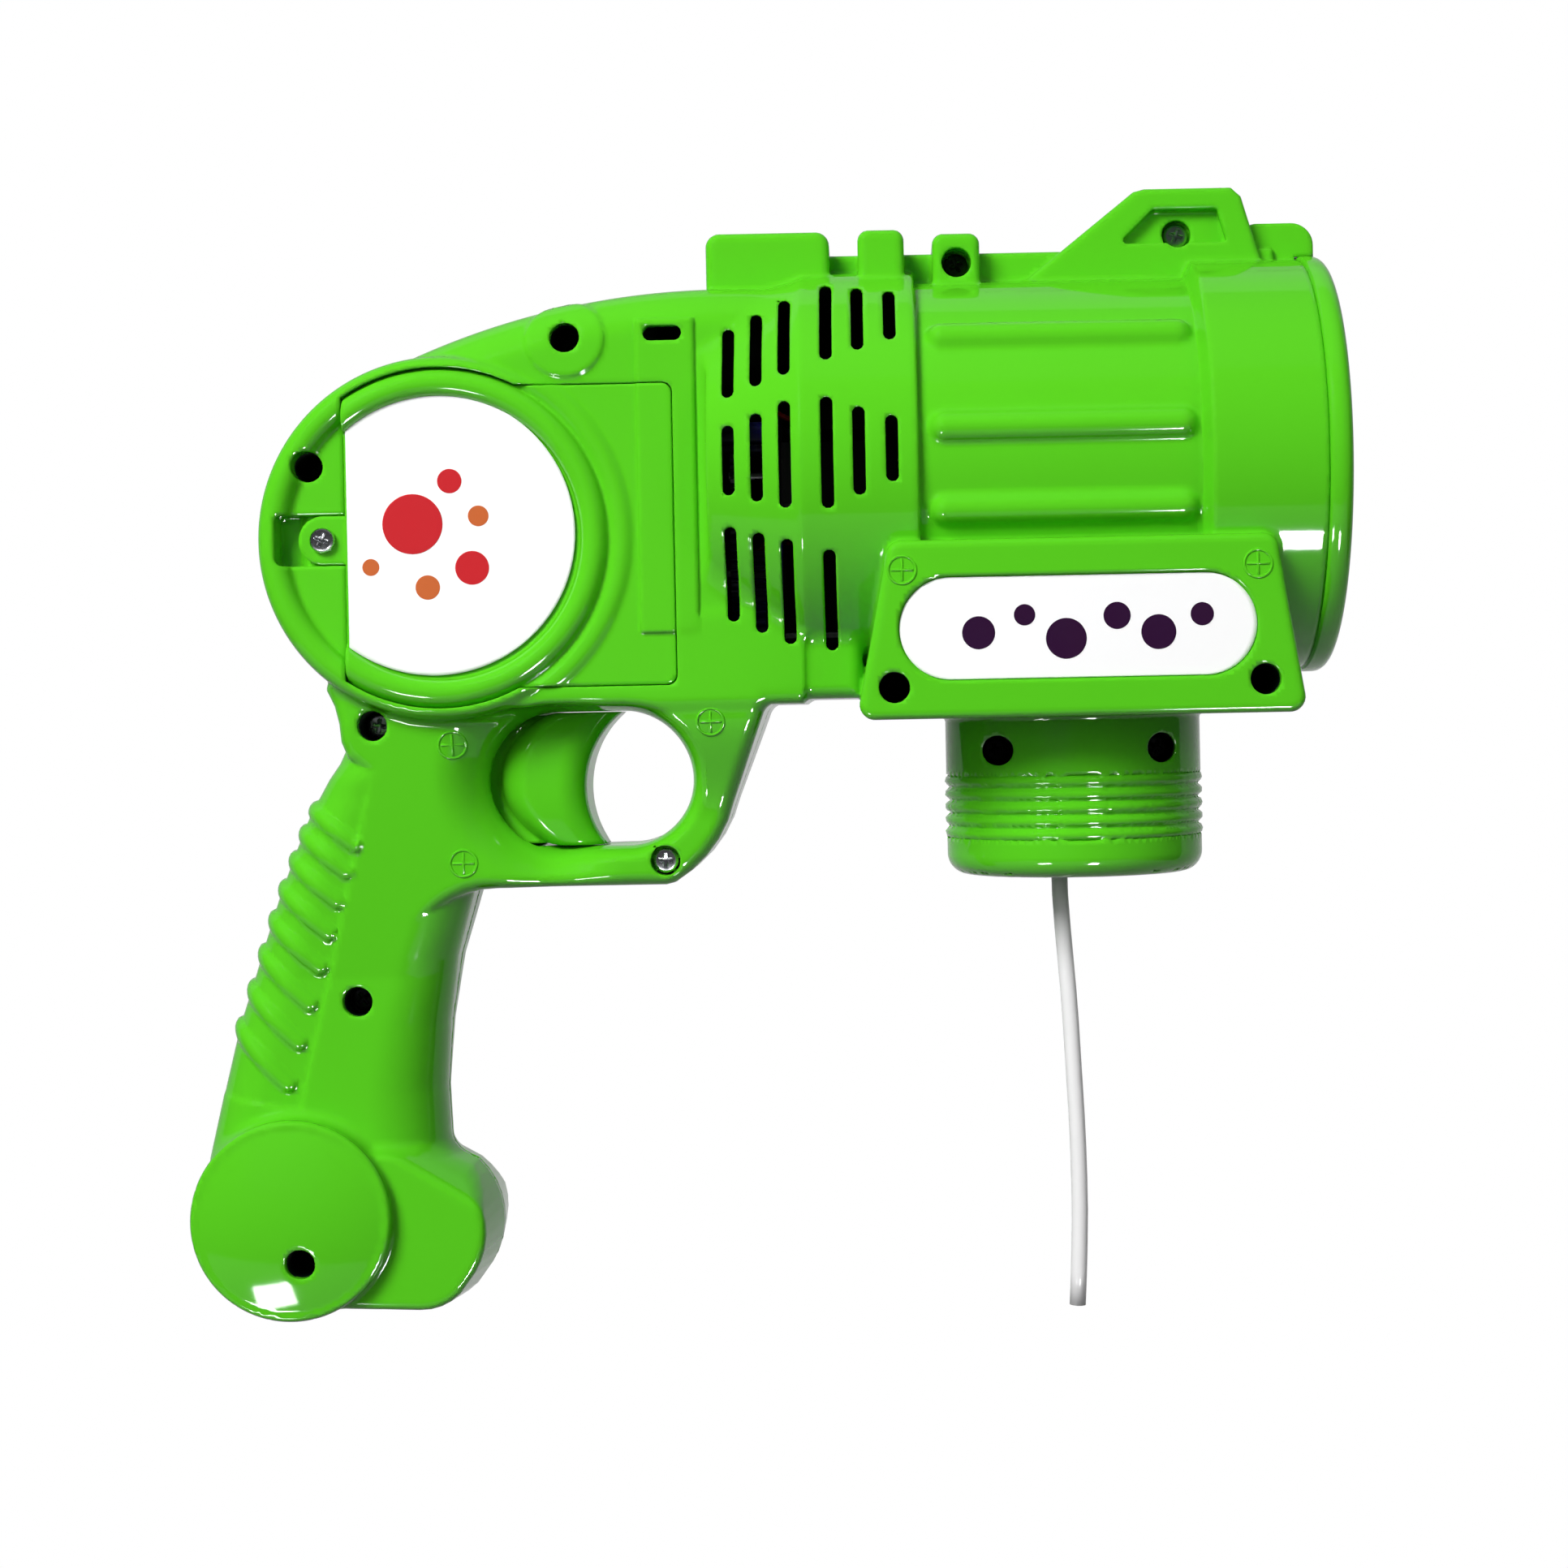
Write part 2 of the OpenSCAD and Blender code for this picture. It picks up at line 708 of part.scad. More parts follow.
// Solid behind the battery cover that carries its ledge and screw
module cover_seat() {
    side_between(cover_back - ledge_t, body_half - 1.2) cover_outline(2.4);
    side_between(tab_floor - 2, rear_face - 0.3) {
        translate([tab_pocket_x, rear_z]) circle(tab_r + 2);
        translate([tab_pocket_x, rear_z - tab_r - 2]) square([15, 2 * tab_r + 4]);
    }
    bar_y([tab_x, rear_z], 9, tab_floor, 3.6);
}

module cover_cuts() {
    side_between(cover_back, body_half + 20) cover_outline(slip);
    side_between(cover_back - 20, cover_back + 1) intersection() {
        cover_outline(-ledge);
        translate([tray_mid_x - tray_in_len / 2 - 0.5, rear_z - tray_in_h / 2 - 0.3])
            square([tray_in_len + 1, tray_in_h + 0.6]);
    }
    side_between(tab_floor, body_half + 20) {
        tab_outline(slip);
        translate([tab_pocket_x, rear_z]) circle(tab_r + slip);
        translate([tab_pocket_x, rear_z - tab_r - slip])
            square([tab_x - tab_pocket_x, 2 * (tab_r + slip)]);
    }
    bar_y([tab_x, rear_z], 6, 30, screw_shank_r + 0.02);
}

// Bosses for the shell screws
module boss_set(r) {
    for (s = screws)
        bar_y([s[0], s[1]], -60, 60, r);
}

module right_half() {
    translate([-250, -100, -220]) cube([400, 100, 320]);
}

module left_half() {
    translate([-250, 0, -220]) cube([400, 100, 320]);
}

label_plate_at = [-1.5, plate_low_z + 18.5];
label_plate_size = [74, 21.5];
label_recess = 0.8;
label_t = 0.3;

// Long round ended outline of the bottle plate label, grown by e
module plate_label_outline(e) {
    r = label_plate_size.y / 2 + e;
    half = label_plate_size.x / 2 - label_plate_size.y / 2;
    translate(label_plate_at) {
        for (s = [-1, 1])
            translate([s * half, 0]) circle(r);
        translate([-half, -r]) square([2 * half, 2 * r]);
    }
}

// One hollow half before its own cuts
module hollow_half() {
    difference() {
        outer_form();
        difference() {
            inner_form();
            boss_set(boss_r);
        }
    }
    window_sleeve();
}

module right_shell() {
    color(green) place() difference() {
        union() {
            hollow_half();
            cover_seat();
        }
        left_half();
        muzzle_cut();
        for (s = screws) {
            bar_y([s[0], s[1]], s[2], 60, well_r);
            bar_y([s[0], s[1]], -1, s[2] + 1, screw_shank_r + 0.3);
        }
        vent_cuts();
        side(60) window_outline(0);
        cover_cuts();
        side_between(fin_half - 3, fin_half + 5) polygon(fin_recess);
        side_between(plate_half - label_recess, plate_half + 5) plate_label_outline(0);
        oblong_cut();
    }
}

// Small oblong slot in the rear body
module oblong_cut() {
    side_between(10, 40) {
        for (x = [-89.8, -84.8])
            translate([x, 28.6]) circle(1.6);
        translate([-89.8, 27]) square([5, 3.2]);
    }
}

// Room for the spigot of the muzzle ring
module muzzle_cut() {
    bar_x(front_x - 2, ring_len + 10, collar_r - wall);
}

module left_shell() {
    color(green) place() difference() {
        hollow_half();
        right_half();
        muzzle_cut();
        for (s = screws)
            bar_y([s[0], s[1]], s[2] - s[3] - 1, 1, screw_shank_r + 0.03);
        side(60) window_outline(0);
        mirror([0, 1, 0]) side_between(fin_half - 3, fin_half + 5) polygon(fin_recess);
    }
}

module muzzle_ring() {
    r_in = collar_r - wall - slip - 1.8;
    color(green) place() spin_x() polygon(concat(
        [[r_in, front_x - 4], [collar_r - wall - slip, front_x - 4], [collar_r - wall - slip, front_x]],
        [[ring_r, front_x]],
        arc_through([ring_r, front_x + ring_len - 2], [ring_r - 0.7, front_x + ring_len - 0.6],
            [ring_r - 2, front_x + ring_len], 4),
        [[r_in, front_x + ring_len]]
    ));
}

// Pan head screw standing along y with its head towards the photographed side
module pan_screw(at, seat, len) {
    bar_y(at, seat - len, seat, screw_shank_r);
    bar_y(at, seat, seat + screw_head_h, screw_head_r);
}

module shell_screws() {
    color(steel) place()
        for (s = screws)
            pan_screw([s[0], s[1]], s[2], s[3]);
}

module plate_label() {
    color("white") place()
        side_between(plate_half - label_recess, plate_half - label_recess + label_t)
            plate_label_outline(-slip);
}

ring_sec = 3;
cover_ring_r = cover_r - ring_sec - 0.1;
label_floor = body_half + 0.4;

module battery_cover() {
    color(green) place() difference() {
        union() {
            side_between(cover_back, body_half) cover_outline(0);
            side_between(cover_back, body_half + band_h) intersection() {
                cover_outline(0);
                band_outline();
            }
            intersection() {
                translate([rear_x, -body_half, rear_z]) rotate([90, 0, 0]) rotate_extrude()
                    polygon(concat(
                        [[0, -1]], [[0, label_floor - body_half], [label_r + 0.1, label_floor - body_half]],
                        arc_through([label_r + 0.1, 1.4], [cover_ring_r, ring_sec - 0.4],
                            [cover_r - 0.2, 0.2], 6),
                        [[cover_r - 0.2, -1]]));
                translate([cover_left_x, -body_half - 10, rear_z - 50]) cube([100, 20, 100]);
            }
            side_between(tab_floor + slip, rear_face) tab_outline(0);
        }
        bar_y([tab_x, rear_z], 10, 40, screw_shank_r + 0.25);
    }
}

module cover_screw() {
    color(steel) place() pan_screw([tab_x, rear_z], rear_face + 0.02, cover_screw_len);
}

module cover_label() {
    color("white") place() side_between(label_floor + 0.02, label_floor + label_t) intersection() {
        translate([rear_x, rear_z]) circle(label_r - slip);
        translate([cover_left_x + 0.4, rear_z - 50]) square([100, 100]);
    }
}

module battery_tray() {
    l = tray_in_len + 2 * tray_t;
    h = tray_in_h + 2 * tray_t;
    color(dark) place() difference() {
        translate([tray_mid_x - l / 2, -tray_rim, rear_z - h / 2])
            cube([l, tray_rim + tray_floor_y + tray_t, h]);
        translate([tray_mid_x - tray_in_len / 2, -tray_rim - 1, rear_z - tray_in_h / 2])
            cube([tray_in_len, tray_rim + tray_floor_y + 1, tray_in_h]);
    }
}

// Height of each cell row
cell_z = [for (i = [0 : cells - 1]) rear_z + (i - (cells - 1) / 2) * cell_pitch];
cell_nub_r = 2.7;
cell_nub_len = 1.2;

module batteries() {
    color("goldenrod") place()
        for (i = [0 : cells - 1])
            translate([tray_mid_x, cell_y, cell_z[i]])
                rotate([0, 0, i % 2 == 0 ? 0 : 180]) {
                    bar_x(-cell_len / 2, cell_len - cell_nub_len, cell_r);
                    bar_x(cell_len / 2 - cell_nub_len - eps, cell_nub_len + eps, cell_nub_r);
                }
}

contact_t = 0.4;
contact_half = 4.5;

// Contact plates at both ends of each cell, each with a raised pip
module battery_contacts() {
    pip = contact_gap - contact_t - 0.05;
    color(steel) place()
        for (z = cell_z, s = [0, 1])
            translate([tray_mid_x, cell_y, z])
                mirror([s, 0, 0]) {
                    translate([-tray_in_len / 2, -contact_half, -contact_half])
                        cube([contact_t, 2 * contact_half, 2 * contact_half]);
                    translate([-tray_in_len / 2 + contact_t - eps, 0, 0]) rotate([0, 90, 0])
                        cylinder(pip, 3, 2);
                }
}

trigger_rear_x = window_cx0 - window_r - 2;
trigger_front = arc_through([-99, window_z + window_r - air], [-107, window_z],
    [-99 - 4, window_z - window_r + air], 10);
plunger_len = 3;
switch_face_x = trigger_rear_x - plunger_len - trigger_travel - 2.6;
switch_len = 7;
switch_top_z = window_z + 9;
switch_h = 18;

module trigger() {
    top = window_z + window_r - air;
    low = window_z - window_r + air;
    color(green) place() {
        side(trigger_half) polygon(concat(
            trigger_front, [[trigger_rear_x + 12, low], [trigger_rear_x, low + 7], [trigger_rear_x, top - 7],
            [trigger_rear_x + 12, top]]));
        bar_x_at(trigger_rear_x - plunger_len, plunger_len + 1, 2.5, [0, window_z + 3]);
    }
}

// Round bar along x through a point given in y and z
module bar_x_at(x0, len, r, at) {
    translate([0, at.x, at.y]) bar_x(x0, len, r);
}

spring_z = window_z - 5;
spring_r = 2.4;
spring_wire_r = 0.35;
spring_turns = 5;
spring_steps = 12;

// Return spring at rest, from the face of the switch base to the back of the trigger
module trigger_spring() {
    x0 = switch_face_x + spring_wire_r + eps;
    len = trigger_rear_x - slip / 2 - spring_wire_r - x0;
    coil = [for (i = [0 : spring_turns * spring_steps])
        let (f = i / (spring_turns * spring_steps), t = 360 * i / spring_steps)
        [x0 + len * f, spring_r * cos(t), spring_z + spring_r * sin(t)]];
    color(steel) place() tube_along(coil, spring_wire_r, 6);
}

module switch_base() {
    half = guard_half - wall - slip;
    color("black") place()
        translate([switch_face_x - switch_len, -half, switch_top_z - switch_h])
            cube([switch_len, 2 * half, switch_h]);
}

leaf_t = 0.4;
leaf_h = 9;
leaf_w = 6;

// Contact leaf standing off the switch base, with a foot at its height foot
module leaf(off, low, foot) {
    translate([switch_face_x + off, -leaf_w / 2, low]) cube([leaf_t, leaf_w, leaf_h]);
    translate([switch_face_x, -leaf_w / 2, foot]) cube([off + eps, leaf_w, leaf_t]);
}

// Two contact leaves in front of the switch base: the rear one hangs, the front one stands
module switch_leaves() {
    low = window_z - 2;
    color("goldenrod") place() {
        leaf(0.5, low + 1, low + 1 + leaf_h - leaf_t);
        leaf(1.7, low, low);
    }
}

// Round motor section with two flats, from x0 on
module motor_round(x0, len) {
    intersection() {
        bar_x(x0, len, motor_r);
        translate([x0 - 1, -motor_flat, -motor_r - 1]) cube([len + 2, 2 * motor_flat, 2 * motor_r + 2]);
    }
}

module motor_can() {
    boss_len = 1.5;
    boss = 3;
    color(steel) place() difference() {
        union() {
            motor_round(motor_x + motor_cap_len, motor_len - motor_cap_len);
            bar_x(motor_x + motor_len - eps, boss_len, boss);
        }
        bar_x(motor_x, motor_len + 2 * boss_len, motor_shaft_r + run);
    }
}

module motor_end_cap() {
    color("white") place() difference() {
        motor_round(motor_x, motor_cap_len);
        bar_x(motor_x - 1, motor_cap_len + 2, motor_shaft_r + run);
    }
}

module motor_shaft() {
    x0 = stage_one_x - 0.5;
    color(steel) place() bar_x(x0, fan_x + fan_len - x0 + 0.5, motor_shaft_r);
}

module motor_pinion() {
    color("white") place() difference() {
        gear(gear_low, m_first, first_turn, stage_one_x, gear_w + 0.6);
        bar_x(stage_one_x - 1, 10, motor_shaft_r + press);
    }
}

fan_hub_r = 5;
blade_t = 1.2;
blade_pitch = 38;

// Axial fan with flat pitched blades
module fan() {
    color("royalblue") place() difference() {
        union() {
            bar_x(fan_x, fan_len, fan_hub_r);
            intersection() {
                bar_x(fan_x + 0.5, fan_len - 1, fan_r);
                for (i = [0 : fan_blades - 1])
                    rotate([360 * i / fan_blades, 0, 0])
                        translate([fan_x + fan_len / 2, 0, fan_r / 2 + 2])
                            rotate([0, 0, blade_pitch])
                                cube([fan_len * 2, blade_t, fan_r], center = true);
            }
        }
        bar_x(fan_x - 1, fan_len + 2, motor_shaft_r + press);
    }
}

spider_x = collar_x - 14;
spider_t = 4;
spider_hub_r = 5;
arm_w = 2.4;
clip_w = 4;

// Fan duct with the baffle that closes the barrel and the spider that carries the wheel axle
module fan_duct() {
    out_r = duct_in_r + duct_t;
    color(dark) place() {
        difference() {
            union() {
                bar_x(duct_x, duct_front_x - duct_x, out_r);
                bar_x(baffle_x, baffle_t, barrel_r - wall - slip);
            }
            bar_x(duct_x - 1, duct_front_x - duct_x + 2, duct_in_r);
            bar_x_at(baffle_x - 1, baffle_t + 2, lay_r + 0.6, [0, -lay_drop]);
        }
        difference() {
            union() {
                bar_x(spider_x, spider_t, spider_hub_r);
                for (t = [90, 210, 330])
                    rotate([t, 0, 0])
                        translate([spider_x + 0.5, wheel_axle_r + 1, -arm_w / 2])
                            cube([spider_t - 1, duct_in_r + duct_t / 2 - wheel_axle_r - 1, arm_w]);
            }
            bar_x(spider_x - 1, spider_t + 2, wheel_axle_r + press);
        }
        feed_clip();
    }
}

// Arm on the duct that holds the feed hose by the wheel
module feed_clip() {
    p = feed_route[len(feed_route) - 3];
    t = atan2(p.z, p.y);
    r = norm([p.y, p.z]);
    rotate([t, 0, 0])
        translate([duct_front_x - 7, duct_in_r + duct_t / 2, -clip_w / 2])
            cube([p.x - duct_front_x + 8, r - duct_in_r - duct_t / 2 - hose_r - slip, clip_w]);
}

gear_bar_h = 11;
gear_tongue = 12;
gear_low_z = -lay_drop - 5;

// Plate that carries the motor, the idler pin and the rear end of the layshaft
module gear_plate() {
    slope = (drum_r - cone_r) / (cone_len - wall);
    r = cone_r - wall + slope * (plate_x - cone_x - wall) - slip;
    color(dark) place() difference() {
        union() {
            intersection() {
                bar_x(plate_x, plate_t, r);
                translate([plate_x - 1, -r, -gear_bar_h]) cube([plate_t + 2, 2 * r, 2 * gear_bar_h]);
            }
            translate([plate_x, -gear_tongue, gear_low_z])
                cube([plate_t, 2 * gear_tongue, -gear_low_z]);
        }
        bar_x(plate_x - 1, 10, motor_shaft_r + 1.5);
        bar_x_at(plate_x - 1, 10, idler_pin_r + press, [idler_y, idler_z]);
        bar_x_at(plate_x - 1, 10, lay_r + run, [0, -lay_drop]);
    }
}

gear_posts = [[14, 8], [-14, 8]];
gear_cover_half = 17;

// Rear plate of the gear case with its posts
module gear_cover() {
    color(dark) place() difference() {
        union() {
            translate([gear_cover_x, -gear_cover_half, gear_low_z])
                cube([plate_t, 2 * gear_cover_half, gear_bar_h - gear_low_z]);
            for (p = gear_posts)
                bar_x_at(gear_cover_x + eps, plate_x - gear_cover_x - eps, 2.5, p);
        }
        bar_x_at(gear_cover_x - 1, 10, idler_pin_r + press, [idler_y, idler_z]);
        bar_x(gear_cover_x - 1, 4, motor_shaft_r + 1.5);
    }
}

module idler_gear() {
    at = [0, idler_y, idler_z];
    color("white") place() translate(at) difference() {
        union() {
            gear(big_teeth, m_first, first_turn + 180 + 180 / big_teeth, stage_one_x + 0.3, gear_w);
            gear(gear_low, m_second, second_turn, stage_one_x + 0.3 + gear_w - eps,
                stage_two_x + gear_w - stage_one_x - gear_w - 0.3 + eps);
        }
        bar_x(stage_one_x - 5, 20, idler_pin_r + run);
    }
}

module idler_pin() {
    color(steel) place()
        bar_x_at(gear_cover_x, plate_x + plate_t - gear_cover_x, idler_pin_r, [idler_y, idler_z]);
}

module layshaft() {
    x0 = stage_two_x - 0.5;
    color(steel) place() bar_x_at(x0, wheel_x + wheel_gear_w + 1 - x0, lay_r, [0, -lay_drop]);
}

module layshaft_gear() {
    color("white") place() translate([0, 0, -lay_drop]) difference() {
        gear(lay_teeth, m_second, second_turn + 180 + 180 / lay_teeth, stage_two_x, gear_w);
        bar_x(stage_two_x - 1, 20, lay_r + press);
    }
}

module wheel_pinion() {
    color("white") place() translate([0, 0, -lay_drop]) difference() {
        gear(gear_low, m_wheel, 90, wheel_x - 0.5, wheel_gear_w + 1);
        bar_x(wheel_x - 5, 20, lay_r + press);
    }
}

module pump_rotor() {
    x0 = pump_x[0] + pump_wall + 0.5;
    l = pump_x[1] - pump_x[0] - 2 * pump_wall - 1;
    color("white") place() translate([0, 0, -lay_drop]) difference() {
        union() {
            bar_x(x0, l, lobe_orbit - 1.5);
            for (t = [90, 210, 330])
                rotate([t, 0, 0]) translate([0, lobe_orbit, 0]) bar_x(x0, l, lobe_r);
        }
        bar_x(x0 - 1, l + 2, lay_r + press);
    }
}

foot_half = 5.5;

// End wall of the pump with its foot on the bottle socket
module pump_end(x0) {
    translate([0, 0, -lay_drop]) along_x(x0, pump_wall) {
        circle(pump_out_r);
        translate([-pump_out_r, -9]) square([2 * pump_out_r, 9]);
        translate([-foot_half, socket_top_z + lay_drop]) square([2 * foot_half, -socket_top_z - lay_drop]);
    }
}

module pump_housing() {
    color("lightgray") place() difference() {
        union() {
            pump_end(pump_x[0]);
            translate([0, 0, -lay_drop]) along_x(pump_x[0], pump_x[1] - pump_x[0] - pump_wall) difference() {
                union() {
                    circle(pump_out_r);
                    translate([-pump_out_r, -9]) square([2 * pump_out_r, 9]);
                }
                circle(pump_in_r);
                translate([-pump_in_r, -20]) square([2 * pump_in_r, 20]);
            }
        }
        bar_x_at(pump_x[0] - 1, 10, lay_r + run, [0, -lay_drop]);
    }
}

module pump_cover() {
    color("lightgray") place() difference() {
        pump_end(pump_x[1] - pump_wall);
        bar_x_at(0, 20, lay_r + run, [0, -lay_drop]);
    }
}

// Route of the pump hose: up from the nipple, over the rotor and out to the wheel
hose_route = concat(
    [[nipple_x, 0, nipple_top_z], [nipple_x, 0, nipple_top_z + 3], [nipple_x, 2, -56], [nipple_x, 5, -52.5],
     [nipple_x, 8, -48.5]],
    [for (t = [-20 : 20 : 200]) [nipple_x, hose_orbit * cos(t), -lay_drop + hose_orbit * sin(t)]],
    [[nipple_x, -hose_orbit - 0.1, -44]],
    feed_route
);

module pump_hose() {
    color(clear_white) place() tube_along(hose_route, hose_r, 8);
}

// Turning wheel of bubble rings with a toothed rim
module bubble_wheel() {
    rim_r = wheel_teeth * m_wheel / 2 - 1.3 * m_wheel;
    color("orange") place() difference() {
        union() {
            difference() {
                gear(wheel_teeth, m_wheel, -90 + 180 / wheel_teeth, wheel_x, wheel_gear_w);
                bar_x(wheel_x - 1, wheel_gear_w + 2, rim_r - 2);
            }
            bar_x(wheel_x, wheel_ring_len, wheel_axle_r + 2.5);
            for (i = [0 : wheel_rings - 1])
                rotate([360 * i / wheel_rings, 0, 0]) {
                    translate([0, ring_orbit, 0]) bar_x(wheel_x, wheel_ring_len, bubble_r + ring_wall);
                    translate([wheel_x, 3, -1]) cube([wheel_gear_w, ring_orbit - bubble_r - 3.5, 2]);
                    translate([wheel_x, ring_orbit + bubble_r + 0.8, -1])
                        cube([wheel_gear_w, rim_r - ring_orbit - bubble_r - 1.4, 2]);
                }
        }
        for (i = [0 : wheel_rings - 1])
            rotate([360 * i / wheel_rings, 0, 0])
                translate([0, ring_orbit, 0]) bar_x(wheel_x - 1, wheel_ring_len + 2, bubble_r);
        bar_x(wheel_x - 1, wheel_ring_len + 2, wheel_axle_r + run);
    }
}

module wheel_axle() {
    head_x = wheel_x + wheel_ring_len + air;
    color(steel) place() {
        bar_x(spider_x, head_x - spider_x + eps, wheel_axle_r);
        bar_x(spider_x + spider_t, wheel_x - air - spider_x - spider_t, wheel_axle_r + 1.5);
        bar_x(head_x, 1.8, wheel_axle_r + 1.8);
    }
}

// Trough in the collar that catches the drips
module drip_tray() {
    r = collar_r - wall - slip;
    x0 = collar_x + 12.5;
    color("lightgray") place() rotate([0, 90, 0])
        rotate_extrude(angle = 120, start = -60)
            polygon([[r - 4, x0], [r, x0], [r, x0 + 8], [r - 5, x0 + 8], [r - 5, x0 + 7],
                [r - 1.2, x0 + 7], [r - 1.2, x0 + 1], [r - 4, x0 + 1]]);
}

module bottle_socket() {
    color(green) place() difference() {
        translate([0, 0, socket_low_z])
            cylinder(socket_top_z - socket_low_z, socket_out_r, socket_out_r);
        translate([0, 0, socket_low_z - 1])
            cylinder(bore_top_z - socket_low_z + 1, socket_r, socket_r);
        translate([0, 0, bore_top_z - 1])
            cylinder(seat_top_z - bore_top_z + 1, seat_r, seat_r);
        translate([0, 0, bore_top_z - 1])
            cylinder(socket_top_z - bore_top_z, cup_r, cup_r);
        translate([nipple_x, 0, socket_top_z - 5]) cylinder(10, 3, 3);
    }
}

module socket_seal() {
    color("black") place() translate([0, 0, bore_top_z + seal_gap]) difference() {
        cylinder(seal_t, seat_r - slip, seat_r - slip);
        translate([0, 0, -1]) cylinder(seal_t + 2, cup_r - 2, cup_r - 2);
    }
}

module tube_nipple() {
    color(clear_white) place() translate([nipple_x, 0, 0]) rotate_extrude() polygon([
        [0, nipple_low_z], [2.4, nipple_low_z], [2.8, socket_top_z - 3], [2.8, socket_top_z],
        [4.5, socket_top_z], [4.5, socket_top_z + 1.2], [1.8, socket_top_z + 1.6], [1.5, nipple_top_z],
        [0, nipple_top_z]
    ]);
}

module dip_tube() {
    color(clear_white) place() tube_along(tube_route, tube_d / 2, 8);
}

// Wires: tray to motor, tray to switch, switch to motor
wire_r = 0.8;
wire_back_y = tray_floor_y + tray_t;
wire_motor_x = motor_x + motor_cap_len / 2;
wire_switch_x = switch_face_x - 3.5;
wire_side = body_half - wall - wire_r - slip;
wire_routes = [
    [[-94, wire_back_y, 8], [-94, wire_back_y + 3, 8], [-90, 6, 11],
     [-84, wire_side - 6, 15], [-76, wire_side - 2, 18],
     [plate_x - 2, wire_side - 3, 17], [plate_x + 4, wire_side - 5, 14], [wire_motor_x + 1, 13, 6],
     [wire_motor_x, motor_flat + 3, 3], [wire_motor_x, motor_flat, 3]],
    [[-128, wire_back_y, -40], [-128, wire_back_y + 3, -40], [-130, 4, -46], [-136, 7, -49.4],
     [wire_switch_x, 8, switch_top_z + 4], [wire_switch_x, 8, switch_top_z]],
    [[wire_switch_x, -8, switch_top_z], [wire_switch_x, -8, switch_top_z + 4], [-136, -4, -49.4],
     [-124, 4, -47.3], [-110, 10, -47], [-95, 14, -45],
     [-86, wire_side - 2.8, -36], [-80, wire_side - 0.4, -27], [-74, wire_side - 0.2, -19],
     [plate_x - 3, wire_side, -14], [plate_x + 3, wire_side - 2, -13.6], [wire_motor_x, 13, -6],
     [wire_motor_x, motor_flat + 3, -3], [wire_motor_x, motor_flat, -3]]
];

module wires() {
    color("red") place()
        for (r = wire_routes)
            tube_along(r, wire_r, 6);
}

right_shell();
left_shell();
muzzle_ring();
shell_screws();
plate_label();
battery_cover();
cover_screw();
cover_label();
battery_tray();
batteries();
battery_contacts();
trigger();
trigger_spring();
switch_base();
switch_leaves();
motor_can();
motor_end_cap();
motor_shaft();
motor_pinion();
fan();
fan_duct();
gear_plate();
gear_cover();
idler_gear();
idler_pin();
layshaft();
layshaft_gear();
pump_rotor();
pump_housing();
pump_cover();
pump_hose();
wheel_pinion();
bubble_wheel();
wheel_axle();
drip_tray();
bottle_socket();
socket_seal();
tube_nipple();
dip_tube();
wires();
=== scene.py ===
"""Looks of a battery bubble blower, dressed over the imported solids.

The moulded pieces are closed surfaces of distance fields. A field gives, for whole numpy arrays of
points in millimetres, the distance to the piece's skin, negative inside. Lengths count from the
bottle axis and the barrel axis, and to_row() moves them to the row frame in metres.
"""

import logging
import math
from dataclasses import dataclass, field
from enum import Enum
from typing import Callable, Sequence

import bpy
import numpy as np
from mathutils import Euler, Matrix, Vector


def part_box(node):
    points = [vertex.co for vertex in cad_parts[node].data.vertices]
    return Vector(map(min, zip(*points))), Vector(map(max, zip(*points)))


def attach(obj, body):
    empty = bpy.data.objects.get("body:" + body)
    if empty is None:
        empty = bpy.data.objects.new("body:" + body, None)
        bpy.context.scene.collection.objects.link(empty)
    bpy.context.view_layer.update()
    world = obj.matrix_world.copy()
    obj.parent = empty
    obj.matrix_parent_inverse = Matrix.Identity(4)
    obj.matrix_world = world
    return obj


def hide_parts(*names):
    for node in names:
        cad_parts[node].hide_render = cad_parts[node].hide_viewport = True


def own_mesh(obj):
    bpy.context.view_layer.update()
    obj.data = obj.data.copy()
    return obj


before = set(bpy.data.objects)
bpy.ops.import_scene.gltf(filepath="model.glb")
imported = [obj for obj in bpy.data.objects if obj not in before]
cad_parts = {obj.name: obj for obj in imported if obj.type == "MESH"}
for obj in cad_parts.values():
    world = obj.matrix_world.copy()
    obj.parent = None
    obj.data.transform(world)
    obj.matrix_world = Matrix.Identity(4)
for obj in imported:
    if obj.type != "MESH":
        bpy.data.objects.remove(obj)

Array = np.ndarray
Field = Callable[[Array, Array, Array], Array]
log = logging.getLogger("bubble_blower")

GRIP_FROM_AXES = np.array([-158.0, 0.0, -108.0])

# A distance beyond every piece, and places that several pieces share, as x and z in millimetres
FAR = 1e9
DRUM_AT = (-135.5, -14.0)
DOOR_SCREW_AT = (-160.4, -14.0)
WINDOW_Z = -66.1
BAND_LOW = (-93.0, -35.0)
BAND_TOP = 31.8
LABEL_LEFT = (-27.75, -36.0)
LABEL_RIGHT = (24.75, -36.0)

# Scale and detail of the noise in the finishes
COLOUR_DRIFT = (18, 3)
GLOSS_DRIFT = (140, 4)
MOULD_RIPPLE = (420, 2)
BRUSHED_COLOUR = (300, 3)
BRUSHED_GLOSS = (900, 2)


class Side(Enum):
    """The two moulded halves, by the sign of y that each one keeps."""

    RIGHT = -1
    LEFT = 1


def to_row(points: Array) -> Array:
    """Moves points from the working axes in millimetres to the row frame in metres."""
    return (np.asarray(points, dtype=np.float64) - GRIP_FROM_AXES) / 1000.0


# Joining and cutting of fields


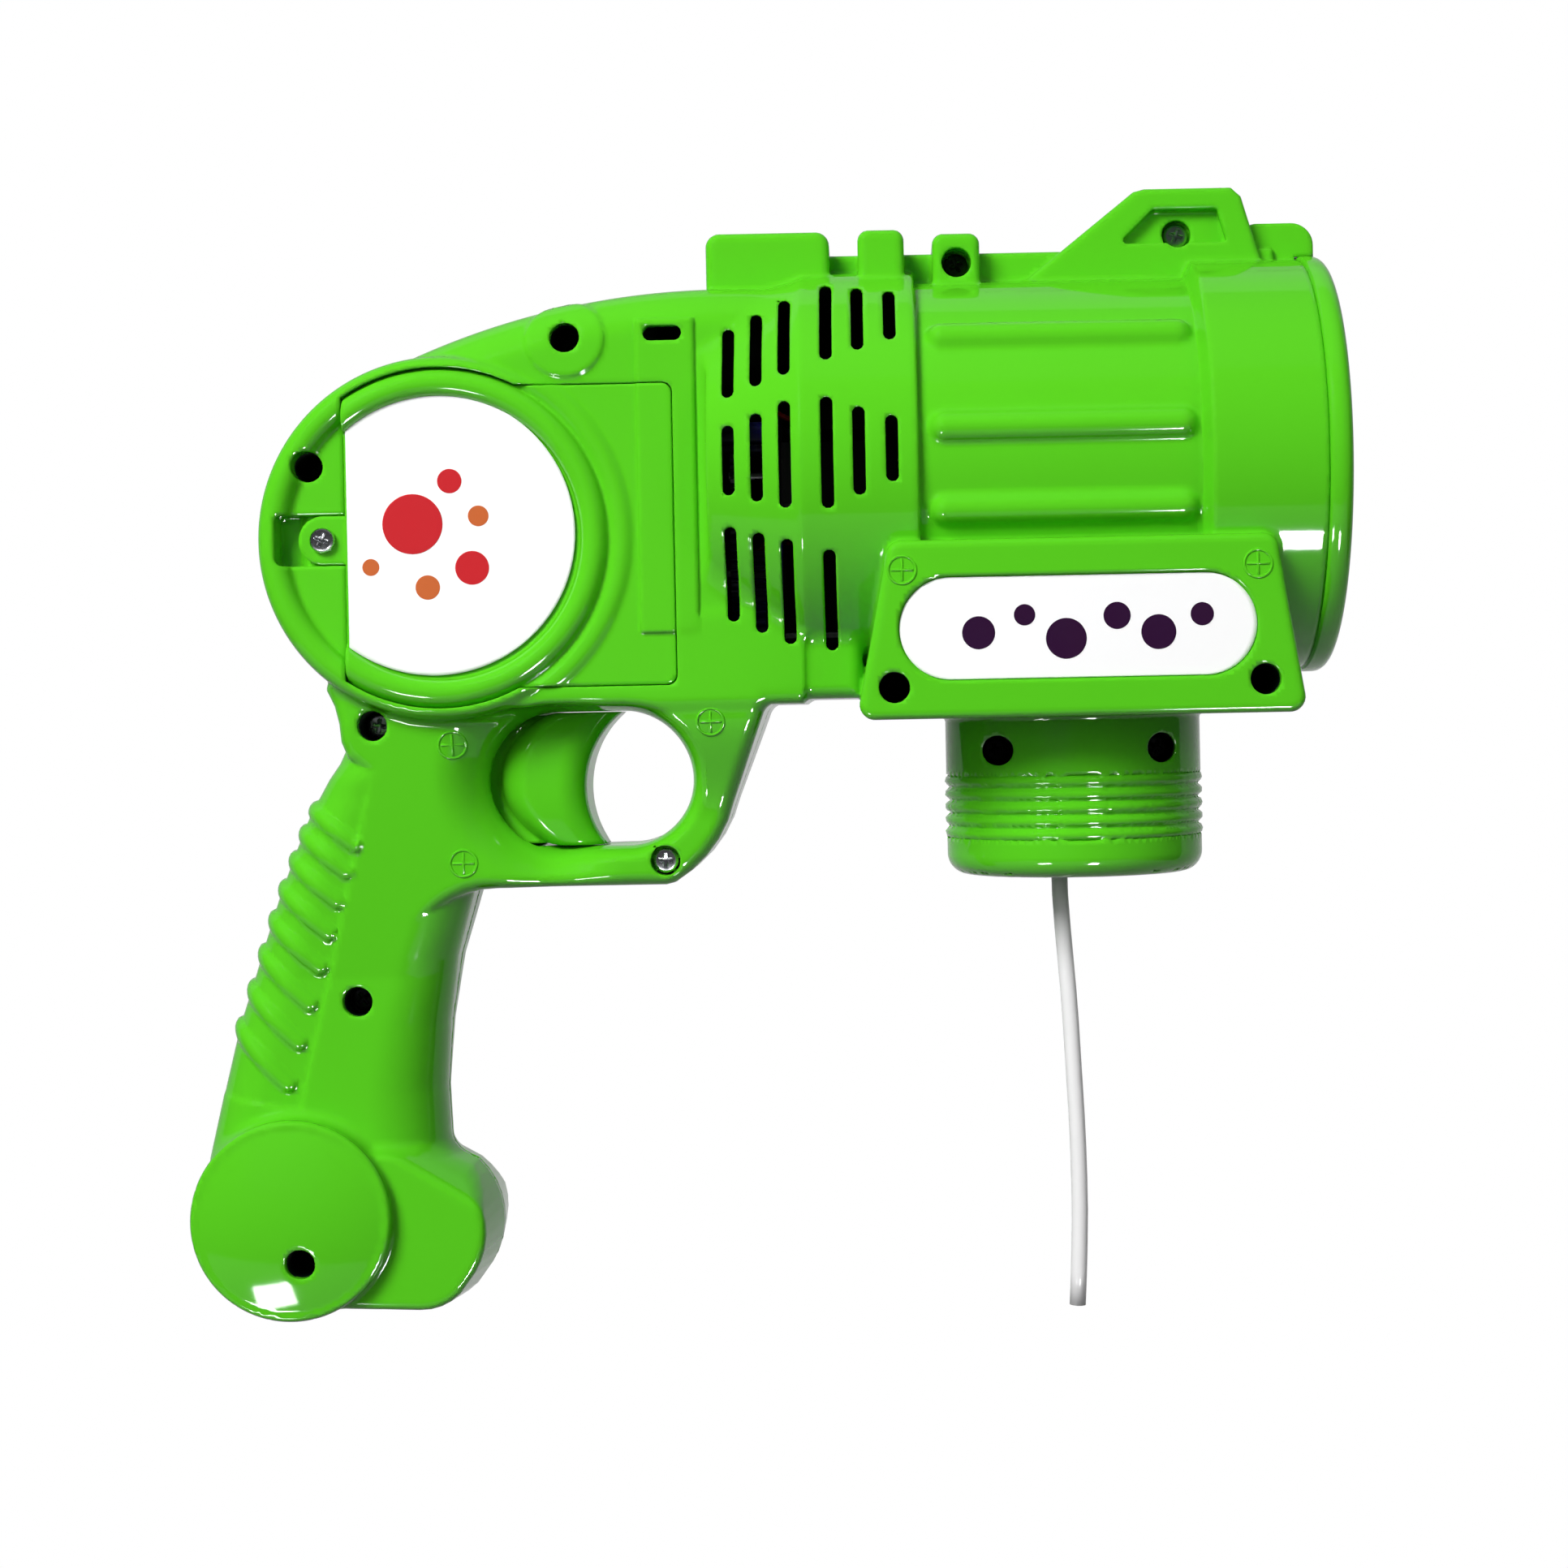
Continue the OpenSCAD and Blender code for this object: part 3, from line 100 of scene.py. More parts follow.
def rounded_join(a: Array, b: Array, r: float | Array) -> Array:
    """Union of two fields with a concave fillet of radius r between them."""
    corner = np.hypot(np.maximum(r - a, 0), np.maximum(r - b, 0))
    return np.maximum(r, np.minimum(a, b)) - corner


def rounded_meet(a: Array, b: Array, r: float | Array) -> Array:
    """Intersection of two fields with its edge rounded to radius r."""
    corner = np.hypot(np.maximum(r + a, 0), np.maximum(r + b, 0))
    return np.minimum(-r, np.maximum(a, b)) + corner


def rounded_cut(a: Array, b: Array, r: float | Array) -> Array:
    """Takes field b out of field a and rounds the edge to radius r."""
    return rounded_meet(a, -b, r)


def smooth_step(v: Array, start: float, end: float) -> Array:
    """Cubic rise from 0 at start to 1 at end."""
    t = np.clip((v - start) / (end - start), 0, 1)
    return t * t * (3 - 2 * t)


# Flat outlines


def disc(u: Array, v: Array, at: Sequence[float], r: float) -> Array:
    """Distance to a circle of radius r."""
    return np.hypot(u - at[0], v - at[1]) - r


def slab(u: Array, v: Array, low: Sequence[float], high: Sequence[float], r: float = 0.0) -> Array:
    """Distance to an upright rectangle with corners of radius r.

    Args:
        u: First coordinates of the points.
        v: Second coordinates of the points.
        low: Lower left corner.
        high: Upper right corner.
        r: Radius of the corners.

    Returns:
        Distances in millimetres, negative inside.
    """
    a = np.abs(u - (low[0] + high[0]) / 2) - (high[0] - low[0]) / 2 + r
    b = np.abs(v - (low[1] + high[1]) / 2) - (high[1] - low[1]) / 2 + r
    return np.hypot(np.maximum(a, 0), np.maximum(b, 0)) + np.minimum(np.maximum(a, b), 0) - r


def stadium(u: Array, v: Array, a: Sequence[float], b: Sequence[float], r: float) -> Array:
    """Distance to the line from a to b thickened to radius r.

    Args:
        u: First coordinates of the points.
        v: Second coordinates of the points.
        a: Start of the line.
        b: End of the line.
        r: Radius about the line.

    Returns:
        Distances in millimetres, negative inside.
    """
    du, dv = b[0] - a[0], b[1] - a[1]
    t = np.clip(((u - a[0]) * du + (v - a[1]) * dv) / (du * du + dv * dv), 0, 1)
    return np.hypot(u - a[0] - t * du, v - a[1] - t * dv) - r


def inset(points: Sequence[Sequence[float]], e: float) -> Array:
    """Moves each edge of a clockwise or counter-clockwise outline inwards by e.

    Args:
        points: Corners of the outline.
        e: Distance to move the edges.

    Returns:
        The corners where the moved edges meet.
    """
    p = np.asarray(points, dtype=float)
    turn = np.sign(np.sum(p[:, 0] * np.roll(p[:, 1], -1) - np.roll(p[:, 0], -1) * p[:, 1]))
    edge = np.roll(p, -1, 0) - p
    edge /= np.linalg.norm(edge, axis=1, keepdims=True)
    normal = turn * np.stack([-edge[:, 1], edge[:, 0]], 1)
    before = np.roll(normal, 1, 0)
    share = 1 + np.sum(before * normal, 1, keepdims=True)
    return p + e * (before + normal) / share


def outline(u: Array, v: Array, points: Sequence[Sequence[float]], r: float = 0.0) -> Array:
    """Distance to a closed polygon whose outer corners are rounded to radius r.

    The distance is the least one to the polygon's edges, with its sign from how often a ray
    crosses them; a rounded polygon is first inset by r and then grown by r.

    Args:
        u: First coordinates of the points.
        v: Second coordinates of the points.
        points: Corners of the polygon.
        r: Radius of the outer corners.

    Returns:
        Distances in millimetres, negative inside.
    """
    p = inset(points, r) if r else np.asarray(points, dtype=float)
    least = np.full(np.shape(u), FAR)
    odd = np.zeros(np.shape(u), dtype=bool)
    for (au, av), (bu, bv) in zip(p, np.roll(p, -1, 0)):
        eu, ev = bu - au, bv - av
        wu, wv = u - au, v - av
        t = np.clip((wu * eu + wv * ev) / (eu * eu + ev * ev), 0, 1)
        least = np.minimum(least, (wu - t * eu) ** 2 + (wv - t * ev) ** 2)
        crosses = (av <= v) != (bv <= v)
        if ev:
            odd ^= crosses & (wu < wv * eu / ev)
    return np.where(odd, -1, 1) * np.sqrt(least) - r


def arc(a: Sequence[float], b: Sequence[float], c: Sequence[float], n: int) -> list[tuple[float, float]]:
    """Points along the circle through a, b and c, from a to c.

    Args:
        a: Start.
        b: A point on the way.
        c: End.
        n: Number of steps.

    Returns:
        The points, with both ends.
    """
    centre, r = circle_through(a, b, c)
    start = math.atan2(a[1] - centre[1], a[0] - centre[0])
    end = math.atan2(c[1] - centre[1], c[0] - centre[0])
    left = (b[0] - a[0]) * (c[1] - b[1]) - (b[1] - a[1]) * (c[0] - b[0]) > 0
    sweep = (end - start) % math.tau if left else -((start - end) % math.tau)
    t = start + sweep * np.linspace(0, 1, n + 1)
    return list(zip(centre[0] + r * np.cos(t), centre[1] + r * np.sin(t)))


def circle_through(a: Sequence[float], b: Sequence[float], c: Sequence[float]) -> tuple[Array, float]:
    """Centre and radius of the circle through three points.

    Args:
        a: First point.
        b: Second point.
        c: Third point.

    Returns:
        Centre and radius.
    """
    p = np.array([a, b, c], dtype=float)
    m = 2 * (p[1:] - p[0])
    centre = np.linalg.solve(m, np.sum(p[1:] ** 2, 1) - np.sum(p[0] ** 2))
    return centre, float(np.linalg.norm(p[0] - centre))


def thick(flat: Array, w: Array, half: float, r: float) -> Array:
    """Gives a flat field a half width, with both edges rounded to radius r."""
    return rounded_meet(flat, w - half, r)


# Surfaces of fields


@dataclass
class Contour:
    """Closed surface of a field, by dual contouring on a lattice.

    Each lattice edge that crosses the skin gives a point and a normal. Each cell puts one vertex
    where the planes of its crossings meet best, in the least squares sense, so edges stay crisp.
    Each crossed edge joins its four cells by a quad.

    Attributes:
        shape: Field in millimetres.
        low: Lowest corner of the lattice.
        high: Highest corner of the lattice.
        cell: Lattice pitch.
        cuts: Values of x where the surface is parted into closed pieces.
        block: Cells along the edge of a block.
        batch: Blocks per call of the field.
        near: How close to the skin a block's middle is for the block to count, in block lengths.
        probe: Half step of the field's gradient in millimetres.
        pull: Weight that draws a vertex to the mean of its crossings.
        room: How far a vertex may go from the middle of its cell, in cells.
    """

    shape: Field
    low: Sequence[float]
    high: Sequence[float]
    cell: float
    cuts: Sequence[float] = ()
    block: int = 8
    batch: int = 40
    near: float = 1.1
    probe: float = 0.04
    pull: float = 0.06
    room: float = 0.6

    def pieces(self) -> list[tuple[Array, Array, Array]]:
        """Finds the crossings, joins their cells by quads and parts them at the cuts.

        Returns:
            Vertices in millimetres, quads and which quads close a cut, for each piece.
        """
        low = np.asarray(self.low, dtype=float)
        corners, values = self._lattice(low)
        inside = values < 0
        cut_at = np.round((np.asarray(self.cuts, dtype=float) - low[0]) / self.cell).astype(int)
        points, normals, quads, owners = [], [], [], []
        caps, cap_owners = [], []
        n = self.block
        own = (slice(None),) + (slice(0, n),) * 3
        for axis in range(3):
            beyond = list(own)
            beyond[axis + 1] = slice(1, n + 1)
            first, second = inside[own], inside[tuple(beyond)]
            index = np.nonzero(first != second)
            at = corners[own][index]
            v0, v1 = values[own][index], values[tuple(beyond)][index]
            p, normal = self._crossing(low, at, axis, v0, v1)
            points.append(p)
            normals.append(normal)
            ring = self._ring(at, axis)
            quads.append(np.where((v0 < 0)[:, None, None], ring, ring[:, ::-1]))
            owner = at.copy()
            owner[:, axis] += v0 >= 0
            owners.append(np.searchsorted(cut_at, owner[:, 0], side="left"))
            if axis == 0 and len(cut_at):
                through = np.nonzero(first & second & np.isin(corners[own][..., 0], cut_at))
                ring = self._ring(corners[own][through], 0)
                before = np.searchsorted(cut_at, corners[own][through][:, 0], side="left")
                caps = [ring, ring[:, ::-1]]
                cap_owners = [before, before + 1]
        crossed = np.concatenate(quads)
        every = np.concatenate([crossed] + caps) if caps else crossed
        owner = np.concatenate(owners + cap_owners)
        skin = np.concatenate(points), np.concatenate(normals)
        return self._assemble(low, *skin, len(crossed), every, owner)

    def _evaluate(self, p: Array) -> Array:
        """Field at many points, in spatially compact batches."""
        size = self.batch * (self.block + 1) ** 3
        parts = [self.shape(*p[i:i + size].T) for i in range(0, len(p), size)]
        return np.concatenate(parts)

    def _lattice(self, low: Array) -> tuple[Array, Array]:
        """Corner indices and field values of the blocks near the skin or across a cut.

        Args:
            low: Lowest corner of the lattice.

        Returns:
            Corner indices and field values, block by block.
        """
        span = self.cell * self.block
        counts = np.ceil((np.asarray(self.high) - low) / span).astype(int)
        grid = np.stack(np.meshgrid(*[np.arange(c) for c in counts], indexing="ij"), -1).reshape(-1, 3)
        order = np.lexsort((grid[:, 1], grid[:, 2], grid[:, 0] // 3, grid[:, 2] // 3))
        grid = grid[order]
        value = self._evaluate(low + (grid + 0.5) * span)
        keep = np.abs(value) < self.near * span
        for cut in self.cuts:
            keep |= (value < 0) & (np.abs(low[0] + (grid[:, 0] + 0.5) * span - cut) < span)
        steps = np.arange(self.block + 1)
        local = np.stack(np.meshgrid(steps, steps, steps, indexing="ij"), -1)
        corners = grid[keep][:, None, None, None, :] * self.block + local
        values = self._evaluate(low + corners.reshape(-1, 3) * self.cell)
        return corners, values.reshape(corners.shape[:-1])

    def _crossing(self, low: Array, at: Array, axis: int, v0: Array, v1: Array) -> tuple[Array, Array]:
        """Where lattice edges cross the skin, with the field's unit gradient there.

        Args:
            low: Lowest corner of the lattice.
            at: Corner indices where the edges start.
            axis: Direction of the edges.
            v0: Field values at the starts.
            v1: Field values at the ends.

        Returns:
            Points on the skin and unit normals.
        """
        start = low + at * self.cell
        t0, t1 = np.zeros(len(at)), np.ones(len(at))
        step = np.zeros(3)
        step[axis] = self.cell
        t = v0 / (v0 - v1)
        for _ in range(3):
            v = self._evaluate(start + t[:, None] * step)
            same = (v < 0) == (v0 < 0)
            t0, v0 = np.where(same, t, t0), np.where(same, v, v0)
            t1, v1 = np.where(same, t1, t), np.where(same, v1, v)
            t = np.clip(t0 + (t1 - t0) * v0 / np.where(v0 == v1, 1, v0 - v1), t0, t1)
        p = start + t[:, None] * step
        legs = np.array([[1, -1, -1], [-1, -1, 1], [-1, 1, -1], [1, 1, 1]], dtype=float)
        slope = sum(leg * self._evaluate(p + self.probe * leg)[:, None] for leg in legs)
        return p, slope / np.maximum(np.linalg.norm(slope, axis=1, keepdims=True), 1e-9)

    @staticmethod
    def _ring(at: Array, axis: int) -> Array:
        """The four cells round each lattice edge, turning left about the axis.

        Args:
            at: Corner indices where the edges start.
            axis: Direction of the edges.

        Returns:
            Indices of four cells for each edge.
        """
        offsets = np.zeros((4, 3), dtype=int)
        offsets[:, (axis + 1) % 3] = (-1, 0, 0, -1)
        offsets[:, (axis + 2) % 3] = (-1, -1, 0, 0)
        return at[:, None, :] + offsets

    def _assemble(
        self, low: Array, p: Array, normal: Array, crossed: int, quads: Array, owner: Array
    ) -> list[tuple[Array, Array, Array]]:
        """Places the cell vertices and hands out the quads to the pieces.

        Args:
            low: Lowest corner of the lattice.
            p: Points on the skin.
            normal: Unit normals at the points.
            crossed: Number of quads that stand for crossings; the others close a cut.
            quads: Cell indices of the quads.
            owner: Number of the piece that owns each quad.

        Returns:
            Vertices, quads and which quads close a cut, for each piece.
        """
        flat = quads.reshape(-1, 3) + 1
        size = flat.max(0) + 2
        key = (flat[:, 0] * size[1] + flat[:, 1]) * size[2] + flat[:, 2]
        cells, first, inverse = np.unique(key, return_index=True, return_inverse=True)
        middle = low + (flat[first] - 0.5) * self.cell
        used = inverse[:crossed * 4]
        point, plane = np.repeat(p, 4, 0), np.repeat(normal, 4, 0)
        total = len(cells)

        def gather(weights: Array) -> Array:
            """Sum of the weights in each cell."""
            return np.bincount(used, weights, total)

        count = np.maximum(np.bincount(used, minlength=total), 1e-9)
        mass = np.stack([gather(point[:, i]) for i in range(3)], 1) / count[:, None]
        mass = np.where(count[:, None] < 0.5, middle, mass)
        reach = np.sum(plane * (point - mass[used]), 1)
        right = np.stack([gather(plane[:, i] * reach) for i in range(3)], 1)
        left = np.empty((total, 3, 3))
        for i in range(3):
            for j in range(3):
                left[:, i, j] = gather(plane[:, i] * plane[:, j])
        left += self.pull * np.eye(3)
        vertex = mass + np.linalg.solve(left, right[:, :, None])[:, :, 0]
        room = self.room * self.cell
        vertex = np.clip(vertex, middle - room, middle + room)
        faces = inverse.reshape(-1, 4)
        closes = np.arange(len(faces)) >= crossed
        result = []
        for piece in range(len(self.cuts) + 1):
            mine = owner == piece
            kept, compact = np.unique(faces[mine], return_inverse=True)
            result.append((vertex[kept], compact.reshape(-1, 4), closes[mine]))
        return result


# Meshes


def make_mesh(name: str, points: Array, quads: Array, smooth: Array | bool = True) -> bpy.types.Object:
    """Puts vertices in millimetres and faces of one size into a new object at the origin.

    Args:
        name: Piece name.
        points: Vertices in working millimetres.
        quads: Vertex numbers of the faces, one row each.
        smooth: Whether the faces, or each one of them, are shaded smooth.

    Returns:
        The linked object.
    """
    mesh = bpy.data.meshes.new(name)
    sides = quads.shape[1]
    mesh.vertices.add(len(points))
    mesh.vertices.foreach_set("co", to_row(points).astype(np.float32).ravel())
    mesh.loops.add(quads.size)
    mesh.loops.foreach_set("vertex_index", quads.astype(np.int32).ravel())
    mesh.polygons.add(len(quads))
    mesh.polygons.foreach_set("loop_start", np.arange(0, quads.size, sides, dtype=np.int32))
    mesh.polygons.foreach_set("use_smooth", np.broadcast_to(smooth, len(quads)).copy())
    mesh.update(calc_edges=True)
    flat = ~np.broadcast_to(smooth, len(quads))
    if flat.any():
        edge = np.empty(quads.size, dtype=np.int32)
        mesh.loops.foreach_get("edge_index", edge)
        crisp = np.zeros(len(mesh.edges), dtype=bool)
        crisp[edge.reshape(-1, sides)[flat]] = True
        mesh.edges.foreach_set("use_edge_sharp", crisp)
    mesh.validate()
    obj = bpy.data.objects.new(name, mesh)
    bpy.context.scene.collection.objects.link(obj)
    return obj


def grid_faces(nu: int, nv: int, close_u: bool, close_v: bool) -> Array:
    """Quads of a grid of nu by nv points, closed round u or v where asked.

    Args:
        nu: Points along u.
        nv: Points along v.
        close_u: Whether the last row joins the first.
        close_v: Whether the last column joins the first.

    Returns:
        Vertex numbers, four to a row.
    """
    u = np.arange(nu if close_u else nu - 1)
    v = np.arange(nv if close_v else nv - 1)
    a, b = np.meshgrid(u, v, indexing="ij")
    c, d = (a + 1) % nu, (b + 1) % nv
    return np.stack([a * nv + b, c * nv + b, c * nv + d, a * nv + d], -1).reshape(-1, 4)


def turned_x(profile: Array, steps: int) -> tuple[Array, Array]:
    """Closed profile of (x, r) rows carried round the barrel axis.

    Args:
        profile: Rows of x and radius.
        steps: Number of steps round the axis.

    Returns:
        Points and faces.
    """
    t = np.linspace(0, math.tau, steps, endpoint=False)[:, None]
    x, r = profile[None, :, 0], profile[None, :, 1]
    points = np.stack([x + 0 * t, -r * np.cos(t), r * np.sin(t)], -1)
    return points.reshape(-1, 3), grid_faces(steps, len(profile), True, True)[:, ::-1]


def capped(rings: Array) -> tuple[Array, Array]:
    """Closed bar through rings of eight points each, which turn clockwise seen along the bar.

    Args:
        rings: Points, ring by ring.

    Returns:
        Points and faces.
    """
    n = len(rings)
    cap = np.array([[0, 1, 2, 3], [0, 3, 4, 7], [7, 4, 5, 6]])
    quads = [grid_faces(n, 8, False, True), cap, cap[:, ::-1] + 8 * (n - 1)]
    return rings.reshape(-1, 3), np.concatenate(quads)


def joined(parts: Sequence[tuple[Array, Array]]) -> tuple[Array, Array]:
    """Several meshes as one set of points and faces."""
    starts = np.cumsum([0] + [len(p) for p, _ in parts[:-1]])
    points = np.concatenate([p for p, _ in parts])
    return points, np.concatenate([q + s for (_, q), s in zip(parts, starts)])


# Finishes


class Nodes:
    """Small helper that adds shader nodes to one material."""

    def __init__(self, name: str) -> None:
        """Starts a material with an empty node tree and its output."""
        self.material = bpy.data.materials.new(name)
        self.material.use_nodes = True
        self.tree = self.material.node_tree
        self.tree.nodes.clear()
        self.out = self.tree.nodes.new("ShaderNodeOutputMaterial")

    def add(self, kind: str, **values: object) -> bpy.types.Node:
        """Adds a node; names of sockets have _ for blanks, other names are properties.

        Args:
            kind: Type of the node.
            values: Values of its sockets and properties.

        Returns:
            The node.
        """
        node = self.tree.nodes.new(kind)
        for name, value in values.items():
            socket = name.replace("_", " ")
            if socket in node.inputs:
                node.inputs[socket].default_value = value
            else:
                setattr(node, name, value)
        return node

    def link(self, source: bpy.types.NodeSocket, target: bpy.types.NodeSocket) -> None:
        """Joins two sockets."""
        self.tree.links.new(source, target)

    def noise(self, scale: float, detail: float) -> bpy.types.NodeSocket:
        """Noise on Object coordinates, as a factor.

        Args:
            scale: Scale of the noise.
            detail: Detail of the noise.

        Returns:
            Socket of the factor.
        """
        place = self.add("ShaderNodeTexCoord")
        grain = self.add("ShaderNodeTexNoise", Scale=scale, Detail=detail)
        self.link(place.outputs["Object"], grain.inputs["Vector"])
        return grain.outputs["Fac"]

    def ramp(self, factor: bpy.types.NodeSocket, low: float, high: float) -> bpy.types.NodeSocket:
        """Maps a factor of 0 to 1 onto the range from low to high."""
        node = self.add("ShaderNodeMapRange", To_Min=low, To_Max=high)
        self.link(factor, node.inputs["Value"])
        return node.outputs["Result"]

    def tint(
        self, body: bpy.types.Node, colors: Sequence[tuple], drift: tuple, gloss: tuple, grain: tuple
    ) -> None:
        """Lets noise drift a surface between two colours and between two grades of gloss.

        Args:
            body: Shader of the surface.
            colors: The two linear colours.
            drift: Scale and detail of the colour's noise.
            gloss: Least and greatest roughness.
            grain: Scale and detail of the roughness noise.
        """
        mix = self.add("ShaderNodeMix", data_type="RGBA")
        for socket, color in zip("AB", colors):
            mix.inputs[socket].default_value = (*color, 1)
        self.link(self.noise(*drift), mix.inputs["Factor"])
        self.link(mix.outputs["Result"], body.inputs["Base Color"])
        self.link(self.ramp(self.noise(*grain), *gloss), body.inputs["Roughness"])
        self.link(body.outputs["BSDF"], self.out.inputs["Surface"])


@dataclass(frozen=True)
class Plastic:
    """Moulded plastic with a faint colour drift, uneven gloss and a shallow moulding ripple.

    Attributes:
        name: Material name.
        color: Linear base colour.
        shade: Second colour that the drift reaches.
        gloss: Least and greatest roughness.
        ripple: Height of the ripple in metres.
        passes: Share of light that the plastic lets through.
    """

    name: str
    color: tuple[float, float, float]
    shade: tuple[float, float, float]
    gloss: tuple[float, float] = (0.18, 0.28)
    ripple: float = 2e-6
    passes: float = 0.0

    def material(self) -> bpy.types.Material:
        """Builds the node material."""
        nodes = Nodes(self.name)
        body = nodes.add("ShaderNodeBsdfPrincipled", IOR=1.5, Transmission_Weight=self.passes)
        nodes.tint(body, (self.color, self.shade), COLOUR_DRIFT, self.gloss, GLOSS_DRIFT)
        bump = nodes.add("ShaderNodeBump", Strength=0.35, Distance=self.ripple)
        nodes.link(nodes.noise(*MOULD_RIPPLE), bump.inputs["Height"])
        nodes.link(bump.outputs["Normal"], body.inputs["Normal"])
        return nodes.material


@dataclass(frozen=True)
class Metal:
    """Plated or drawn metal with fine brushed variation in its gloss.

    Attributes:
        name: Material name.
        color: Linear base colour.
        gloss: Least and greatest roughness.
    """

    name: str
    color: tuple[float, float, float]
    gloss: tuple[float, float] = (0.2, 0.4)

    def material(self) -> bpy.types.Material:
        """Builds the node material."""
        nodes = Nodes(self.name)
        body = nodes.add("ShaderNodeBsdfPrincipled", Metallic=1.0)
        shade = tuple(0.8 * c for c in self.color)
        nodes.tint(body, (self.color, shade), BRUSHED_COLOUR, self.gloss, BRUSHED_GLOSS)
        return nodes.material


GREEN = Plastic("green_abs", (0.09, 0.54, 0.012), (0.083, 0.51, 0.01), gloss=(0.05, 0.09))
# Near black plastic painted on the housing's deep inside faces as shade in wells, slots and behind the
# vents.
PAINTED_SHADE = Plastic("painted_shade_inside", (0.004, 0.012, 0.006), (0.003, 0.008, 0.01), gloss=(0.4, 0.6))
FILM = Plastic("label_film", (0.93, 0.93, 0.93), (0.92, 0.92, 0.925), gloss=(0.3, 0.34), ripple=5e-7)
PURPLE_INK = Plastic("purple_ink", (0.03, 0.004, 0.025), (0.02, 0.004, 0.04), gloss=(0.12, 0.3))
RED_INK = Plastic("red_ink", (0.6, 0.012, 0.02), (0.5, 0.01, 0.015))
ORANGE_INK = Plastic("orange_ink", (0.6, 0.14, 0.03), (0.5, 0.1, 0.02))
DARK = Plastic("dark_moulding", (0.006, 0.007, 0.012), (0.01, 0.01, 0.02), gloss=(0.35, 0.5))
NAVY = Plastic("navy_moulding", (0.006, 0.008, 0.09), (0.01, 0.01, 0.06), gloss=(0.25, 0.4))
ACETAL = Plastic("white_acetal", (0.75, 0.75, 0.7), (0.68, 0.68, 0.63), gloss=(0.3, 0.45))
ORANGE = Plastic("orange_wheel", (0.85, 0.16, 0.01), (0.78, 0.13, 0.01))
RUBBER = Plastic("seal_rubber", (0.012, 0.012, 0.012), (0.02, 0.02, 0.02), gloss=(0.5, 0.7))
CELL = Plastic("cell_sleeve", (0.45, 0.24, 0.03), (0.38, 0.2, 0.03), gloss=(0.25, 0.35))
WIRE = Plastic("wire_sleeve", (0.5, 0.02, 0.015), (0.42, 0.015, 0.01))
MILKY = Plastic("milky_tube", (0.96, 0.95, 0.95), (0.93, 0.93, 0.94), gloss=(0.2, 0.3), passes=0.15)
ZINC = Metal("zinc_plate", (0.72, 0.74, 0.78), (0.18, 0.34))
# Zinc darkened as painted shade, for the screw head that sits in the fin's deep well.
SHADED_ZINC = Metal("painted_shade_zinc", (0.5, 0.54, 0.6), (0.3, 0.45))
# Near black steel: the motor can, and painted shade on the shell screw heads that sit deep in their wells.
DARK_STEEL = Metal("dark_steel", (0.03, 0.03, 0.035), (0.35, 0.5))
STEEL = Metal("ground_steel", (0.55, 0.56, 0.58), (0.22, 0.4))
BRASS = Metal("spring_brass", (0.75, 0.5, 0.16), (0.25, 0.4))


class Finishes:
    """Materials by finish, each built once."""

    def __init__(self) -> None:
        """Starts with no material built."""
        self._built: dict[str, bpy.types.Material] = {}

    def __getitem__(self, finish: Plastic | Metal) -> bpy.types.Material:
        """The material of a finish."""
        if finish.name not in self._built:
            self._built[finish.name] = finish.material()
        return self._built[finish.name]

    def dress(self, obj: bpy.types.Object, *finishes: Plastic | Metal) -> None:
        """Puts the finishes on an object's mesh in slot order."""
        obj.data.materials.clear()
        for finish in finishes:
            obj.data.materials.append(self[finish])


FINISHES = Finishes()


def fit(
    obj: bpy.types.Object, body: str, node: str, slot: str, *finishes: Plastic | Metal
) -> bpy.types.Object:
    """Dresses a piece, ties it to its body and hides the solid that it stands for.

    Args:
        obj: The piece.
        body: Body that the piece rides on.
        node: Solid that it stands for, or an empty text where it stands for none.
        slot: Material slot of the part; not used.
        finishes: Finishes in the order of the mesh's slots.

    Returns:
        The piece.
    """
    FINISHES.dress(obj, *finishes)
    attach(obj, body)
    if node:
        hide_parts(node)
    return obj


# Moulded housing


